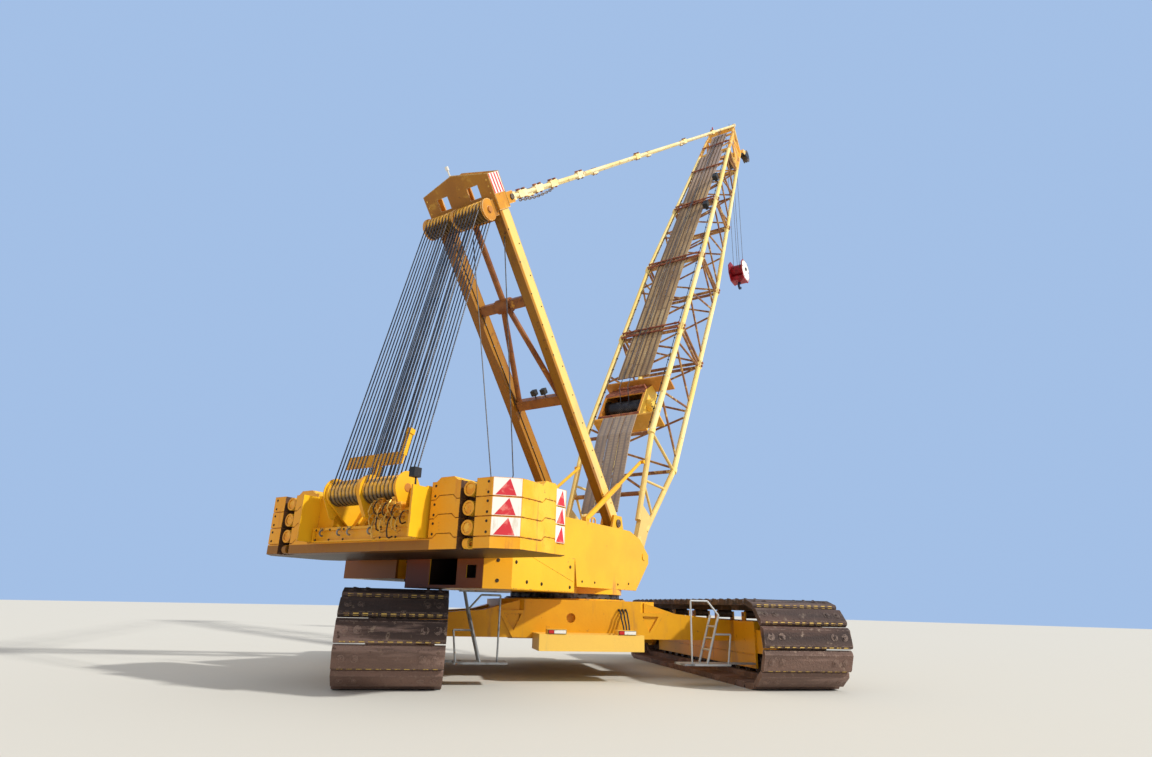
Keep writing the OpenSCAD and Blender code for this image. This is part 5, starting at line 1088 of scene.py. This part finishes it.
rod(wiper, [(2.664, 2.50, 2.98), (2.664, 2.74, 3.62)], 0.012)
for y, end_y in ((1.64, 1.47), (3.04, 3.14)):
    bend_y = y + (end_y - y) * 0.6
    rod(mirrors, [(2.62, y, 3.95), (2.70, bend_y, 3.97), (2.72, end_y, 3.90)], 0.012)
    block(mirrors, (2.695, end_y - 0.07, 3.56), (2.73, end_y + 0.07, 3.90))
    block(mirror_glass, (2.690, end_y - 0.06, 3.57), (2.695, end_y + 0.06, 3.89))
for x in (0.60, 2.40):
    rod(rails, [(x, 1.70, 4.15), (x, 1.70, 4.24), (x, 2.98, 4.24), (x, 2.98, 4.15)], 0.014)
rod(rails, [(1.28, 3.035, 2.45), (1.28, 3.085, 2.50), (1.28, 3.085, 3.45), (1.28, 3.035, 3.50)], 0.014)
block(controls, (2.20, 2.05, 2.12), (2.50, 2.62, 2.80))
prism(controls, [(2.18, 2.80), (2.52, 2.80), (2.50, 2.98), (2.28, 3.02)], 2.02, 2.65)
for y in (2.05, 2.60):
    rod(controls, [(2.02, y, 2.62), (2.05, y, 2.78)], 0.012)
    rod(controls, [(2.05, y, 2.77), (2.055, y, 2.83)], 0.026, 12)
rod(door_parts, [(2.38, 3.035, 2.63), (2.38, 3.080, 2.63), (2.38, 3.080, 2.78), (2.38, 3.035, 2.78)], 0.012)
hinge = pivot["cab_door"]
for z in (2.35, 3.05, 3.85):
    rod(door_parts, [(hinge.x, hinge.y, z - 0.06), (hinge.x, hinge.y, z + 0.06)], 0.022, 12)
piece("cab_wiper", wiper, rubber, "lamp_plastic")
piece("cab_mirrors", mirrors, rubber, "lamp_plastic")
piece("mirror_faces", mirror_glass, lens_white, "lamp_plastic")
piece("cab_rails", rails, ladder_grey, "ladder_steel")
piece("cab_controls", controls, rubber, "seat_plastic", bevel=0.01)
piece("door_handle_hinges", door_parts, rubber, "lamp_plastic", "cab_door")

# Engine house: panel seams, louvre blades, doors with hinges and catches, a rain cap on the
# exhaust and a lifting eye at each roof corner.
HOUSE_Y, ROOF_Z, PIPE_X, PIPE_Y = (1.50, 3.20), 3.42, -1.2, 2.0
seams, blades, catches, exhaust, roof_eyes = solids(5)
for x in (-3.75, -2.65, -1.5):
    for y, out in zip(HOUSE_Y, (-0.006, 0.006)):
        block(seams, (x - 0.012, y, 2.10), (x + 0.012, y + out, 3.38))
    block(seams, (x - 0.012, 1.55, ROOF_Z), (x + 0.012, 3.15, ROOF_Z + 0.007))
for lo, hi in ((-3.58, -2.82), (-1.33, -0.57)):
    for z in (2.50 + 0.10 * k for k in range(7)):
        prism(blades, [(3.19, z), (3.235, z - 0.035), (3.235, z - 0.027), (3.19, z + 0.012)], lo, hi, "yzx")
for x in (-4.55, -2.60, -1.55, -0.36):
    for z in (2.35, 3.15):
        rod(catches, [(x, 3.213, z - 0.06), (x, 3.213, z + 0.06)], 0.014, 10)
for x in (-3.85, -2.72, -0.42):
    block(catches, (x - 0.06, HOUSE_Y[1], 2.72), (x + 0.06, HOUSE_Y[1] + 0.025, 2.76))
    rod(catches, [(x - 0.045, 3.235, 2.74), (x + 0.045, 3.235, 2.74)], 0.012)
for low, high, radius in ((3.44, 3.47, 0.15), (3.86, 3.90, 0.108)):
    rod(exhaust, [(PIPE_X, PIPE_Y, low), (PIPE_X, PIPE_Y, high)], radius, 24)
prism(exhaust, [(-1.33, 3.945), (-1.10, 4.03), (-1.10, 4.045), (-1.34, 3.955)], PIPE_Y - 0.11, PIPE_Y + 0.11)
for x in (-4.5, -0.45):
    for y in (1.66, 3.04):
        rod(roof_eyes, arc((x, y, 3.46), 0.045, 16), 0.012)
piece("house_seams", seams, dark_bolt, "frame_paint")
piece("louvre_blades", blades, frame_paint, "frame_paint")
piece("house_catches", catches, rubber, "lamp_plastic")
piece("exhaust_trim", exhaust, rust, "engine_iron")
piece("roof_eyes", roof_eyes, roller_steel, "bare_steel")
